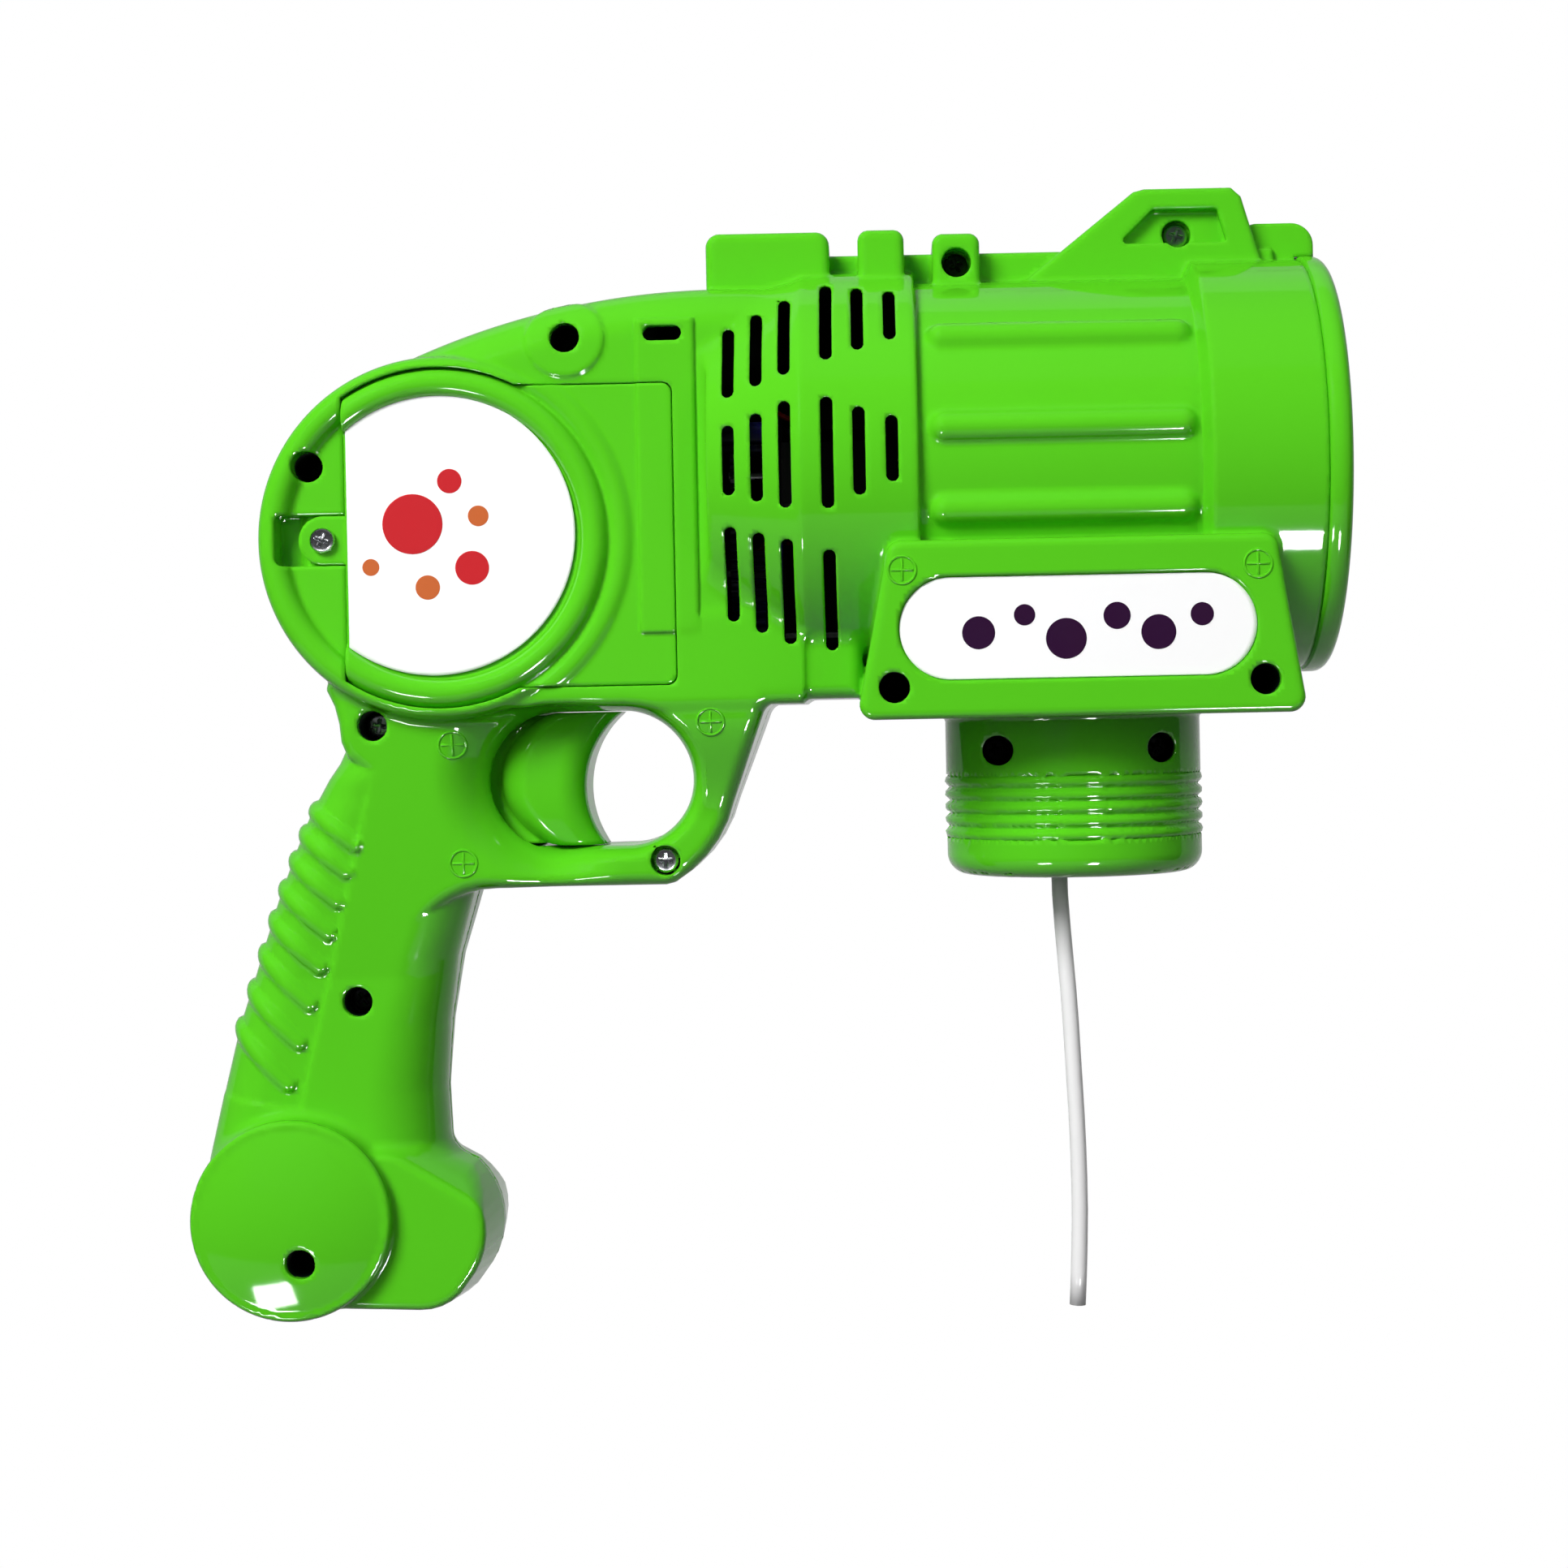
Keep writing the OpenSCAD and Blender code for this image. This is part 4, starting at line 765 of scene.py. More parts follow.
@dataclass
class Housing:
    """Both moulded halves: barrel, rear body, guard, grip, pommel, bottle plate and neck.

    Lengths are in millimetres from the bottle axis and the barrel axis; w is the distance from
    the middle plane.
    """

    # Wall, and the barrel's section as x and radius, with its ribs
    wall: float = 2.2
    barrel_r: float = 41.5
    barrel_line: tuple = (
        (-78, 0), (-78, 34), (-58, 44), (-33.5, 44), (-33.5, barrel_r), (25.2, barrel_r),
        (27, 45), (51, 45), (51, 0)
    )
    rib_angles: tuple = (38, 8, -15.8)
    rib_r: float = 3.3
    rib_height: float = 2.6
    rib_ends: tuple = (-28, 21)
    # Battery drum with its rim, and the rear body with its raised band and screw pad
    drum_r: float = 38.6
    drum_face: float = 24.0
    rim_width: float = 4.1
    rim_r: float = 3.1
    rim_w: float = 23.9
    body_half: float = 25.0
    body_low: float = -50.4
    body_ends: tuple = (-146, -59)
    body_top: tuple = ((-146, 23.6), (-116, 34.2), (-74, 39.1))
    band_height: float = 0.8
    pad_r: float = 8.4
    pad_height: float = 0.7
    # Guard and the sides of the upper grip
    guard_half: float = 16.0
    guard_rise: float = 8.6
    lean_rate: float = 0.107
    lean_from: float = -108.0
    lean_height: float = 55.0
    dish_depth: float = 9.0
    dish_reach: float = 12.0
    # Hand grip: rear and front line by height, sunk panel and ribs
    grip_half: float = 16.0
    grip_heights: tuple = (-147.5, -133.2, -118.8, -104.5, -90.2, -79.5, -72.4, -65.3, -61.7, -58, -50)
    grip_rears: tuple = (-191.4, -188, -184.4, -179.6, -174.6, -170.2, -167.1, -162.8, -160.2, -158.4, -158)
    grip_fronts: tuple = (-139, -139.6, -138.5, -136.2, -132, -129, -128, -128, -128, -128, -128)
    panel_drop: float = 0.6
    grip_rib_count: int = 8
    grip_rib_from: tuple = (-154.6, -80.1)
    grip_rib_run: tuple = (-16.0, -51.9)
    grip_rib_lean: float = 36.5
    grip_rib_turn: float = 7.0
    grip_rib_r: float = 2.35
    grip_rib_sunk: float = 1.25
    # Pommel block and disc
    pommel_at: tuple = (-170.7, -159.2)
    pommel_r: float = 21.3
    pommel_half: float = 19.0
    pommel_dome: float = 25.2
    # Bottle plate with its label, bottle neck and seats
    plate: tuple = ((-47.4, -54.5), (45.6, -54.5), (39.6, -17.6), (-40.2, -17.7))
    plate_half: float = 45.0
    label_r: float = 10.75
    label_depth: float = 0.8
    neck_r: float = 28.1
    neck_low: float = -88.9
    thread_band: tuple = (-81, -66.9)
    thread_count: int = 5
    thread_first: float = -68.3
    thread_pitch: float = 2.85
    thread_r: float = 1.15
    socket_r: float = 25.4
    socket_ends: tuple = (-87.7, -60)
    lip_r: float = 23.4
    lip_high: float = -86.0
    ring_seat_r: float = 42.8
    ring_seat_x: float = 48.8
    # Shell screws as x, z and distance of the seat from the middle plane
    screws: tuple = (
        (-163.4, 1.7, 8), (-108.1, 28.1, 8), (-151.2, -53.7, 11.5), (-156.6, -113.2, 7),
        (-89.5, -84, 13), (-168.3, -168, 8), (-39.5, -47.9, 9), (36.8, -47.6, 9),
        (-17.5, -61.6, 8), (17.5, -61.6, 8), (-24, 44.6, 5.5), (24.7, 50.8, 1.8)
    )
    well_r: float = 3.2
    shank_hole_r: float = 1.55
    # Vent slots: x of a column, then the low and high end of each slot
    vent_rows: tuple = (
        (-73.2, (13.6, 29), (-7, 7.5), (-33, -13.5)),
        (-67.2, (15.6, 32), (-8.6, 9.6), (-35.5, -15)),
        (-61.2, (17.6, 35), (-10.2, 11.8), (-38, -16.6)),
        (-52.4, (20.5, 38.5), (-10.6, 12.4), (-39.5, -19)),
        (-45.8, (22.6, 37.6), (-8, 10.2)),
        (-39, (24.8, 36.6), (-5.4, 8.2)),
    )
    vent_r: float = 1.3
    # Trim along the top: low and high corner, radius of corners, half width and radius of edges
    trim_blocks: tuple = (
        ((-66, 30), (46, 47.7), 1, 5, 1.2),
        ((-78.4, 24), (-51.6, 51.6), 3, 14, 1.8),
        ((-45.4, 30), (-35.4, 51.3), 2.4, 16.5, 1.6),
        ((-29.2, 30), (-18.9, 51), 2.4, 12, 1.6),
    )
    fin_line: tuple = ((-13.3, 37.5), (15.2, 60), (17.6, 60.6), (36.6, 60.6), (38.8, 58.6), (45, 37.5))
    fin_half: float = 8.0
    fin_recess: tuple = ((11.7, 48.6), (19.3, 56), (33.4, 56), (35.6, 48.6))
    fin_recess_depth: float = 3.0
    # Where a half is parted into pieces, the gap between the halves, and the lattice pitches
    part_at: tuple = (-80.0, 0.0)
    half_gap: float = 0.03
    cells: dict = field(default_factory=lambda: {Side.RIGHT: 0.8, Side.LEFT: 1.0})

    def guard_line(self) -> list[tuple[float, float]]:
        """Outline of the trigger guard and the upper grip.

        Returns:
            Corners in order, as x and z.
        """
        return (
            [(-46, -30), (-46, -49.8), (-66.4, -49.8)]
            + arc((-74.5, -71.5), (-78.6, -80.6), (-87.5, -88.8), 5)
            + [(-89.5, -89.3)]
            + arc((-126, -89.3), (-138, -93.2), (-145, -104), 8)
            + [(-151, -108), (-155, -108), (-150.5, -67), (-153.5, -63.8), (-157, -60.6)]
            + [(-158.4, -57), (-158.7, -53), (-159.6, -49.3), (-161.4, -45.5), (-150, -30)]
        )

    def lean(self, z: Array) -> Array:
        """How much the sides of the upper grip stand out, up to where they meet the drum."""
        return self.lean_rate * np.clip(z - self.lean_from, 0, self.lean_height)

    def dish(self, x: Array, z: Array) -> Array:
        """Share of the dish beside the trigger: 1 at the window's edge, 0 at its reach and beyond."""
        return np.clip(1 - self.window(x, z) / self.dish_reach, 0, 1)

    def slack(self, x: Array, z: Array) -> Array:
        """Factor that keeps the slope of the field near 1 where the side is dished."""
        return 1 / np.sqrt(1.2 + (1.6 * self.dish(x, z)) ** 2)

    def guard_side(self, x: Array, z: Array) -> Array:
        """Half width of guard and upper grip, wider towards the body and dished beside the trigger.

        Args:
            x: Lengths along the barrel.
            z: Heights above the barrel axis.

        Returns:
            Half widths in millimetres.
        """
        front = smooth_step(x, -128, -108)
        dish = self.dish_depth * self.dish(x, z) ** 2 * smooth_step(-x, 98, 118)
        wider = self.lean(z) * (1 - front) + self.guard_rise * smooth_step(z, -76, -50) * front
        return self.guard_half + wider - dish

    def grip(self, x: Array, z: Array, w: Array) -> Array:
        """Hand grip between its rear and front lines, rounded more at the back than at the front.

        Behind the panel edge the side lies a little lower.

        Args:
            x: Lengths along the barrel.
            z: Heights above the barrel axis.
            w: Distances from the middle plane.

        Returns:
            Distances in millimetres, negative inside.
        """
        rear = (np.interp(z, self.grip_heights, self.grip_rears) - x) * 0.94
        front = x - np.interp(z, self.grip_heights, self.grip_fronts)
        edge = -152.4 + (z + 67.3) * (17.0 / 69.6)
        foot = -136.6 + (x + 169) * (-3.2 / 19.4)
        panel = smooth_step(edge - x, -0.2, 0.7) * smooth_step(z - foot, -0.2, 0.7)
        half = self.grip_half - self.panel_drop * panel * smooth_step(-64 - z, 0, 6)
        side = rounded_meet(rear, w - half, 11)
        bevel = 11.5 + 4 * smooth_step(-z, 95, 140)
        return np.maximum(rounded_meet(side, front, bevel), np.maximum(z + 50, -152 - z))

    def grip_ribs(self, x: Array, z: Array, grip: Array) -> Array:
        """Round ribs that lean forwards on the sides and run round the back of the grip.

        Each rib is a tube about the curve where a leaning plane cuts the grip's skin.

        Args:
            x: Lengths along the barrel.
            z: Heights above the barrel axis.
            grip: Distances to the skin of the grip.

        Returns:
            Distances in millimetres, negative inside.
        """
        ribs = np.full(np.shape(x), FAR)
        for f in np.linspace(0, 1, self.grip_rib_count):
            front_x = self.grip_rib_from[0] + self.grip_rib_run[0] * (0.86 * f + 0.14 * f * f)
            front_z = self.grip_rib_from[1] + self.grip_rib_run[1] * (0.76 * f + 0.24 * f * f)
            lean = math.radians(self.grip_rib_lean + self.grip_rib_turn * f)
            across = (x - front_x) * math.sin(lean) + (z - front_z) * math.cos(lean)
            along = (x - front_x) * math.cos(lean) - (z - front_z) * math.sin(lean)
            tube = np.hypot(across, grip + self.grip_rib_sunk) - self.grip_rib_r
            ribs = np.minimum(ribs, rounded_meet(tube, along, 1.6))
        return ribs

    def pommel(self, x: Array, z: Array, w: Array) -> Array:
        """Pommel block with a round front, and its domed disc with a beaded edge.

        Args:
            x: Lengths along the barrel.
            z: Heights above the barrel axis.
            w: Distances from the middle plane.

        Returns:
            Distances in millimetres, negative inside.
        """
        line = (
            [(-172, -144), (-144, -144.5)]
            + arc((-133.5, -150.2), (-128.2, -161.7), (-131, -172.6), 8)
            + arc((-134.4, -177.2), (-138.6, -180), (-144, -180.9), 4)
            + [(-168, -180), (-174, -172)]
        )
        block = rounded_meet(outline(x, z, line, 1.0) + 0.1 * (w - 4), w - self.pommel_half, 1.4)
        slope = 0.52 * (x + 152.2) + 0.855 * (z + 144.3)
        block = rounded_meet(block, 0.91 * slope + 0.41 * (w - self.pommel_half), 1.4)
        reach = np.hypot(x - self.pommel_at[0], z - self.pommel_at[1])
        dome = self.pommel_dome - 3.0 * (reach / self.pommel_r) ** 2
        cap = rounded_meet(reach - self.pommel_r, w - dome, 1.1)
        bead = np.hypot(reach - self.pommel_r + 0.9, w - 21.7) - 1.0
        return rounded_join(block, np.minimum(cap, bead), 1.2)

    def neck(self, x: Array, y: Array, z: Array) -> Array:
        """Bottle neck about the upright axis, with round ribs in a shallow band and a round foot.

        Args:
            x: Lengths along the barrel.
            y: Distances across, negative on the side with the door.
            z: Heights above the barrel axis.

        Returns:
            Distances in millimetres, negative inside.
        """
        reach = np.hypot(x, y)
        low, high = self.thread_band
        band = slab(reach, z, (self.neck_r - 0.7, low), (self.neck_r + 5, high), 0.3)
        post = rounded_meet(reach - self.neck_r, self.neck_low - z, 4.5)
        post = np.maximum(np.maximum(post, z + 49), -band)
        for i in range(self.thread_count):
            drop = z - self.thread_first + self.thread_pitch * i
            post = np.minimum(post, np.hypot(reach - self.neck_r + 0.9, drop) - self.thread_r)
        return post

    def trim(self, x: Array, z: Array, w: Array) -> Array:
        """Rail, three blocks, sight fin and front bump along the top.

        Args:
            x: Lengths along the barrel.
            z: Heights above the barrel axis.
            w: Distances from the middle plane.

        Returns:
            Distances in millimetres, negative inside.
        """
        blocks = [
            thick(slab(x, z, low, high, corner), w, half, edge)
            for low, high, corner, half, edge in self.trim_blocks
        ]
        fin = thick(outline(x, z, self.fin_line, 0.8), w, self.fin_half, 1.3)
        bump = thick(slab(x, z, (38, 30), (55.2, 53.4), 4.9), w, 2.8, 0.8)
        bump = np.maximum(bump, -np.maximum(50.9 - x, z - 45.85))
        return np.minimum.reduce([*blocks, rounded_join(fin, bump, 0.8)])

    def main_form(self, x: Array, y: Array, z: Array) -> Array:
        """The outside that the hollow follows: turned, boxed and blended forms without trim.

        Args:
            x: Lengths along the barrel.
            y: Distances across, negative on the side with the door.
            z: Heights above the barrel axis.

        Returns:
            Distances in millimetres, negative inside.
        """
        w = np.abs(y)
        r = np.hypot(y, z)
        barrel = outline(x, r, self.barrel_line, 0.9)
        drum = disc(x, z, DRUM_AT, self.drum_r)
        top = disc(x, z, *circle_through(*self.body_top))
        body = rounded_meet(w - self.body_half, top, 10)
        body = rounded_meet(body, self.body_low - z, 1.8)
        rear, front = self.body_ends
        body = np.maximum.reduce([body, x - front, rear - x, -drum - self.rim_width])
        drum = rounded_meet(drum, w - self.drum_face, 1.2)
        flank = self.guard_side(x, z)
        slack = self.slack(x, z)
        guard = rounded_meet(outline(x, z, self.guard_line(), 1.2), (w - flank) * slack, 3.0)
        plate = thick(outline(x, z, self.plate, 3.2), w, self.plate_half, 1.6)
        form = rounded_join(barrel, body, 3.0)
        form = rounded_join(form, drum, 1.0)
        form = rounded_join(form, guard, 2.2)
        form = np.minimum(form, self.grip(x, z, w + self.guard_half - flank) * slack)
        form = rounded_join(form, self.pommel(x, z, w), 2.5)
        form = rounded_join(form, plate, 1.0)
        return rounded_join(form, self.neck(x, y, z), 0.8)

    def outside(self, x: Array, y: Array, z: Array) -> tuple[Array, Array]:
        """Main form, and the same with ribs, rims, raised panels and trim.

        Args:
            x: Lengths along the barrel.
            y: Distances across, negative on the side with the door.
            z: Heights above the barrel axis.

        Returns:
            Both distances in millimetres, negative inside.
        """
        w = np.abs(y)
        r = np.hypot(y, z)
        form = self.main_form(x, y, z)
        full = form
        for angle in self.rib_angles:
            t = math.radians(angle)
            across = z * math.cos(t) - w * math.sin(t)
            spine = stadium(x, across, (self.rib_ends[0], 0), (self.rib_ends[1], 0), 0)
            rib = np.hypot(spine, r - self.barrel_r - self.rib_height + self.rib_r) - self.rib_r
            full = rounded_join(full, np.maximum(rib, 10 - w), 1.1)
        rim = np.hypot(disc(x, z, DRUM_AT, self.drum_r - self.rim_r), w - self.rim_w) - self.rim_r
        full = rounded_join(full, rim, 0.9)
        grip = self.grip(x, z, w + self.guard_half - self.guard_side(x, z))
        full = np.minimum(full, self.grip_ribs(x, z, grip))
        band = slab(x, z, BAND_LOW, (-80.6, BAND_TOP), 0.6)
        band = thick(band, w, self.body_half + self.band_height, 0.5)
        full = np.minimum(full, np.maximum(band, 15 - w))
        pad = rounded_meet(disc(x, z, self.screws[1][:2], self.pad_r), form - self.pad_height, 0.6)
        full = rounded_join(full, np.maximum(pad, 19 - w), 0.8)
        full = rounded_join(full, np.maximum(self.trim(x, z, w), 38 - r), 0.9)
        return form, full

    def vents(self, x: Array, z: Array) -> Array:
        """Rows of round ended slots on the cone and the drum.

        Args:
            x: Lengths along the barrel.
            z: Heights above the barrel axis.

        Returns:
            Distances in millimetres, negative inside.
        """
        r = self.vent_r
        cut = np.full(np.shape(x), FAR)
        for column, *slots in self.vent_rows:
            for low, high in slots:
                cut = np.minimum(cut, stadium(x, z, (column, low + r), (column, high - r), r))
        return cut

    def shape(self, side: Side) -> Field:
        """The field of one half.

        Args:
            side: Which half.

        Returns:
            A field that hollows the outside to the wall and takes out wells, slots and seats.
        """
        track = Trigger().track

        def distance(x: Array, y: Array, z: Array) -> Array:
            """Distance to the skin of the half."""
            w = np.abs(y)
            r = np.hypot(y, z)
            form, full = self.outside(x, y, z)
            window = self.window(x, z)
            full = rounded_cut(full, window, 3.6 - 1.6 * smooth_step(-x, 112, 122))
            rear = smooth_step(-x, 114, 121)
            hollow = np.maximum(form + self.wall, self.wall * (1 - rear) - window)
            hollow = np.maximum(hollow, np.minimum(9 * rear - window, w - 8.2))
            seat = np.maximum(np.minimum(door_line(x, z, 2.0), self.tab_pocket(x, z) - 2.2), 17.4 - w)
            hollow = np.maximum(hollow, -seat)
            for sx, sz, _ in self.screws:
                hollow = np.maximum(hollow, self.well_r + 1.1 - np.hypot(x - sx, z - sz))
            full = np.maximum(full, -hollow)
            full = np.maximum(full, -np.maximum(r - self.ring_seat_r, self.ring_seat_x - x))
            reach = np.hypot(x, y)
            low, high = self.socket_ends
            socket = np.maximum.reduce([reach - self.socket_r, low - z, z - high])
            lip = np.maximum(reach - self.lip_r, z - self.lip_high)
            full = np.maximum.reduce([full, -socket, -lip])
            full = np.maximum(full, -np.minimum(window, track(x, y, z)))
            recess = outline(x, z, self.fin_recess, 0.8)
            floor = self.fin_half - self.fin_recess_depth
            full = rounded_cut(full, np.maximum(recess, floor - w), 0.5)
            if side is Side.RIGHT:
                full = self.right_cuts(full, x, z, w)
            return rounded_meet(full, side.value * -y + self.half_gap, 0.3)

        return distance

    @staticmethod
    def window(x: Array, z: Array) -> Array:
        """Round ended outline of the finger window."""
        return stadium(x, z, (-112.4, WINDOW_Z), (-97.95, WINDOW_Z), 14.65)

    @staticmethod
    def tab_pocket(x: Array, z: Array) -> Array:
        """Outline of the pocket that takes the door's screw tab."""
        return slab(x, z, (-170.3, -19.4), (-146, -8.6), 1.6)

    def right_cuts(self, full: Array, x: Array, z: Array, w: Array) -> Array:
        """Vent slots, screw wells, seat of the battery door, label recess and oblong slot.

        Args:
            full: Distances before the cuts.
            x: Lengths along the barrel.
            z: Heights above the barrel axis.
            w: Distances from the middle plane.

        Returns:
            Distances after the cuts.
        """
        full = rounded_cut(full, np.maximum(self.vents(x, z), 14 - w), 0.35)
        for sx, sz, floor in self.screws:
            near = np.hypot(x - sx, z - sz)
            full = rounded_cut(full, np.maximum(near - self.well_r, floor - w), 0.35)
            full = np.maximum(full, -np.maximum(near - self.shank_hole_r, -w))
        seat = np.maximum(door_line(x, z, 0.22), 23 - w)
        full = rounded_cut(full, seat, 0.3)
        tray = np.maximum(door_line(x, z, -1.4), slab(x, z, (-148.7, -43.4), (-91.3, 15.4)))
        full = np.maximum(full, -np.maximum(tray, 3 - w))
        floor = 22.1 - 2.4 * smooth_step(-x, 163.5, 166)
        full = rounded_cut(full, np.maximum(self.tab_pocket(x, z), floor - w), 0.4)
        label = stadium(x, z, LABEL_LEFT, LABEL_RIGHT, self.label_r)
        full = rounded_cut(full, np.maximum(label, self.plate_half - self.label_depth - w), 0.3)
        slot = stadium(x, z, (-89.8, 28.6), (-84.8, 28.6), 1.6)
        return rounded_cut(full, np.maximum(slot, 10 - w), 0.3)

    def build(self, side: Side) -> list[bpy.types.Object]:
        """Makes the pieces of one half, with the deep inside faces in their own slot, painted near black as
        shade.

        Args:
            side: Which half.

        Returns:
            The pieces from rear to front.
        """
        name = "right_shell" if side is Side.RIGHT else "left_shell"
        low, high = (-194, -47, -184), (57, 47, 62)
        y = (low[1], 0.4) if side is Side.RIGHT else (-0.4, high[1])
        corners = (low[0], y[0], low[2]), (high[0], y[1], high[2])
        skin = Contour(self.shape(side), *corners, self.cells[side], self.part_at)
        pieces = []
        for part, (points, quads, closes) in zip(("rear", "vent", "front"), skin.pieces()):
            obj = make_mesh(f"{name}_{part}", points, quads, ~closes)
            x, y, z = points[quads].mean(1).T
            # Painted shade: faces deeper than the wall under the main form, away from the window and the
            # tab pocket, get the near black material.
            painted_shade_faces = self.main_form(x, y, z) < 0.12 - self.wall
            painted_shade_faces &= (self.window(x, z) > 6) & (self.tab_pocket(x, z) > 1)
            pieces.append(fit(obj, "frame", name, "shell_green", GREEN, PAINTED_SHADE))
            obj.data.polygons.foreach_set("material_index", painted_shade_faces.astype(np.int32))
        return pieces


# Battery door


def door_line(x: Array, z: Array, grow: float) -> Array:
    """Outline of the battery door without its tab: a circle cut straight, joined to a rectangle."""
    bow = np.maximum(disc(x, z, DRUM_AT, 36 + grow), -155.5 - grow - x)
    panel = slab(x, z, (-128 - grow, -46 - grow), (-85.6 + grow, 18 + grow), 2.2)
    return np.minimum(bow, panel)


@dataclass
class BatteryDoor:
    """Battery door with its round bead, soft outer step, raised band and screw tab."""

    face: float = 25.0
    back: float = 23.05
    bead_at: tuple = (32.9, 24.7)
    bead_r: float = 2.95
    step_at: tuple = (38.7, 22.8)
    step_r: float = 3.3
    band_height: float = 0.8
    label_r: float = 29.9
    tab_r: float = 5.2
    tab_back: float = 22.25
    tab_face: float = 24.0
    hole_r: float = 1.5
    cell: float = 0.6

    def shape(self, x: Array, y: Array, z: Array) -> Array:
        """Field of the door.

        Args:
            x: Lengths along the barrel.
            y: Distances across, negative on the side with the door.
            z: Heights above the barrel axis.

        Returns:
            Distances in millimetres, negative inside.
        """
        w = -y
        line = door_line(x, z, 0.0)
        plate = rounded_meet(line, w - self.face, 0.35)
        reach = disc(x, z, DRUM_AT, 0)
        bead = np.hypot(reach - self.bead_at[0], w - self.bead_at[1]) - self.bead_r
        step = np.hypot(reach - self.step_at[0], w - self.step_at[1]) - self.step_r
        raised = rounded_join(bead, step, 0.8)
        band = slab(x, z, BAND_LOW, (-78, BAND_TOP), 0.6)
        band = thick(band, w, self.face + self.band_height, 0.5)
        raised = np.minimum(raised, band)
        door = rounded_join(plate, rounded_meet(raised, line, 0.35), 0.5)
        door = np.maximum(door, self.back - w)
        seat = np.maximum(reach - self.label_r, 25.4 - w)
        door = rounded_cut(door, seat, 0.25)
        tab = stadium(x, z, DOOR_SCREW_AT, (-150, DOOR_SCREW_AT[1]), self.tab_r)
        tab = rounded_meet(np.maximum(tab, self.tab_back - w), w - self.tab_face, 0.4)
        door = np.minimum(door, np.maximum(tab, x + 153))
        return np.maximum(door, -disc(x, z, DOOR_SCREW_AT, self.hole_r))

    def build(self) -> bpy.types.Object:
        """Makes the door piece.

        Returns:
            The piece.
        """
        skin = Contour(self.shape, (-168, -29.5, -52), (-84, -20, 24), self.cell)
        points, quads, _ = skin.pieces()[0]
        obj = make_mesh("battery_door", points, quads)
        return fit(obj, "cover", "battery_cover", "shell_green", GREEN)


# Trigger


@dataclass
class Trigger:
    """Sliding trigger with a hollowed front for the finger and flanges inside the guard."""

    half: float = 12.4
    dome: float = 0.012
    finger_arc: tuple = ((-99, -51.6), (-107, WINDOW_Z), (-103, -80.6))
    travel: float = 5.2
    plunger_r: float = 2.5
    plunger_z: float = -63.1
    cell: float = 0.7

    def block(self, x: Array, y: Array, z: Array, back: float) -> Array:
        """Finger block, rounded more towards its rear, with the rear drawn back.

        Args:
            x: Lengths along the barrel.
            y: Distances across, negative on the side with the door.
            z: Heights above the barrel axis.
            back: How far the rear is drawn back.

        Returns:
            Distances in millimetres, negative inside.
        """
        line = stadium(x, z, (-112 - back, WINDOW_Z), (-80, WINDOW_Z), 14.5)
        edge = 1.0 + 8.0 * smooth_step(-x - back, 110, 124)
        side = np.abs(y) - self.half + self.dome * (z - WINDOW_Z) ** 2
        front = rounded_meet(-disc(x, z, *circle_through(*self.finger_arc)), side, 6.0)
        return np.maximum(rounded_meet(line, side, edge), front)

    @staticmethod
    def flanges(x: Array, y: Array, z: Array, back: float) -> Array:
        """Two thin plates beside the plunger that stay behind the guard's window."""
        line = stadium(x, z, (-119.5 - back, WINDOW_Z), (-112, WINDOW_Z), 14.0)
        return np.maximum.reduce([line, x + 113, np.abs(np.abs(y) - 5.2) - 1.0])

    def track(self, x: Array, y: Array, z: Array) -> Array:
        """Space that the trigger needs along its whole travel."""
        swept = self.block(x, y, z, self.travel) - 0.12
        return np.minimum(swept, self.flanges(x, y, z, self.travel) - 0.5)

    def shape(self, x: Array, y: Array, z: Array) -> Array:
        """Field of the trigger and its plunger.

        Args:
            x: Lengths along the barrel.
            y: Distances across, negative on the side with the door.
            z: Heights above the barrel axis.

        Returns:
            Distances in millimetres, negative inside.
        """
        block = np.minimum(self.block(x, y, z, 0.0), self.flanges(x, y, z, 0.0))
        rod = disc(y, z, (0, self.plunger_z), self.plunger_r)
        return np.minimum(block, np.maximum.reduce([rod, -131 - x, x + 122]))

    def build(self) -> bpy.types.Object:
        """Makes the trigger piece.

        Returns:
            The piece.
        """
        skin = Contour(self.shape, (-135, -15, -82), (-97, 15, -50), self.cell)
        points, quads, _ = skin.pieces()[0]
        obj = make_mesh("finger_trigger", points, quads)
        return fit(obj, "trigger", "trigger", "shell_green", GREEN)


# Muzzle ring


@dataclass
class MuzzleRing:
    """Turned ring that closes the collar, with a rolled lip."""

    outer: float = 45.7
    inner: float = 40.8
    back: float = 51.0
    front: float = 56.0
    spigot: float = 42.6
    spigot_back: float = 47.0
    lip_r: float = 2.6
    bore_edge_r: float = 1.2
    bevel: float = 0.5
    steps: int = 256

    def profile(self) -> Array:
        """Rows of (x, r) round the section, with quarter circles at the lip and the bore.

        Returns:
            Rows in order round the section.
        """
        t = np.linspace(0, math.pi / 2, 7)
        c, s = np.cos(t), np.sin(t)
        a, b = self.lip_r, self.bore_edge_r
        lip = np.stack([self.front - a + a * s, self.outer - a + a * c], 1)
        bore = np.stack([self.front - b + b * c, self.inner + b - b * s], 1)
        rest = [
            (self.spigot_back, self.inner), (self.spigot_back, self.spigot), (self.back, self.spigot),
            (self.back, self.outer - self.bevel), (self.back + self.bevel, self.outer)
        ]
        return np.concatenate([np.array(rest), lip, bore])

    def build(self) -> bpy.types.Object:
        """Makes the ring piece.

        Returns:
            The piece.
        """
        points, quads = turned_x(self.profile(), self.steps)
        obj = make_mesh("muzzle_lip", points, quads)
        return fit(obj, "frame", "muzzle_ring", "shell_green", GREEN)


# Screws


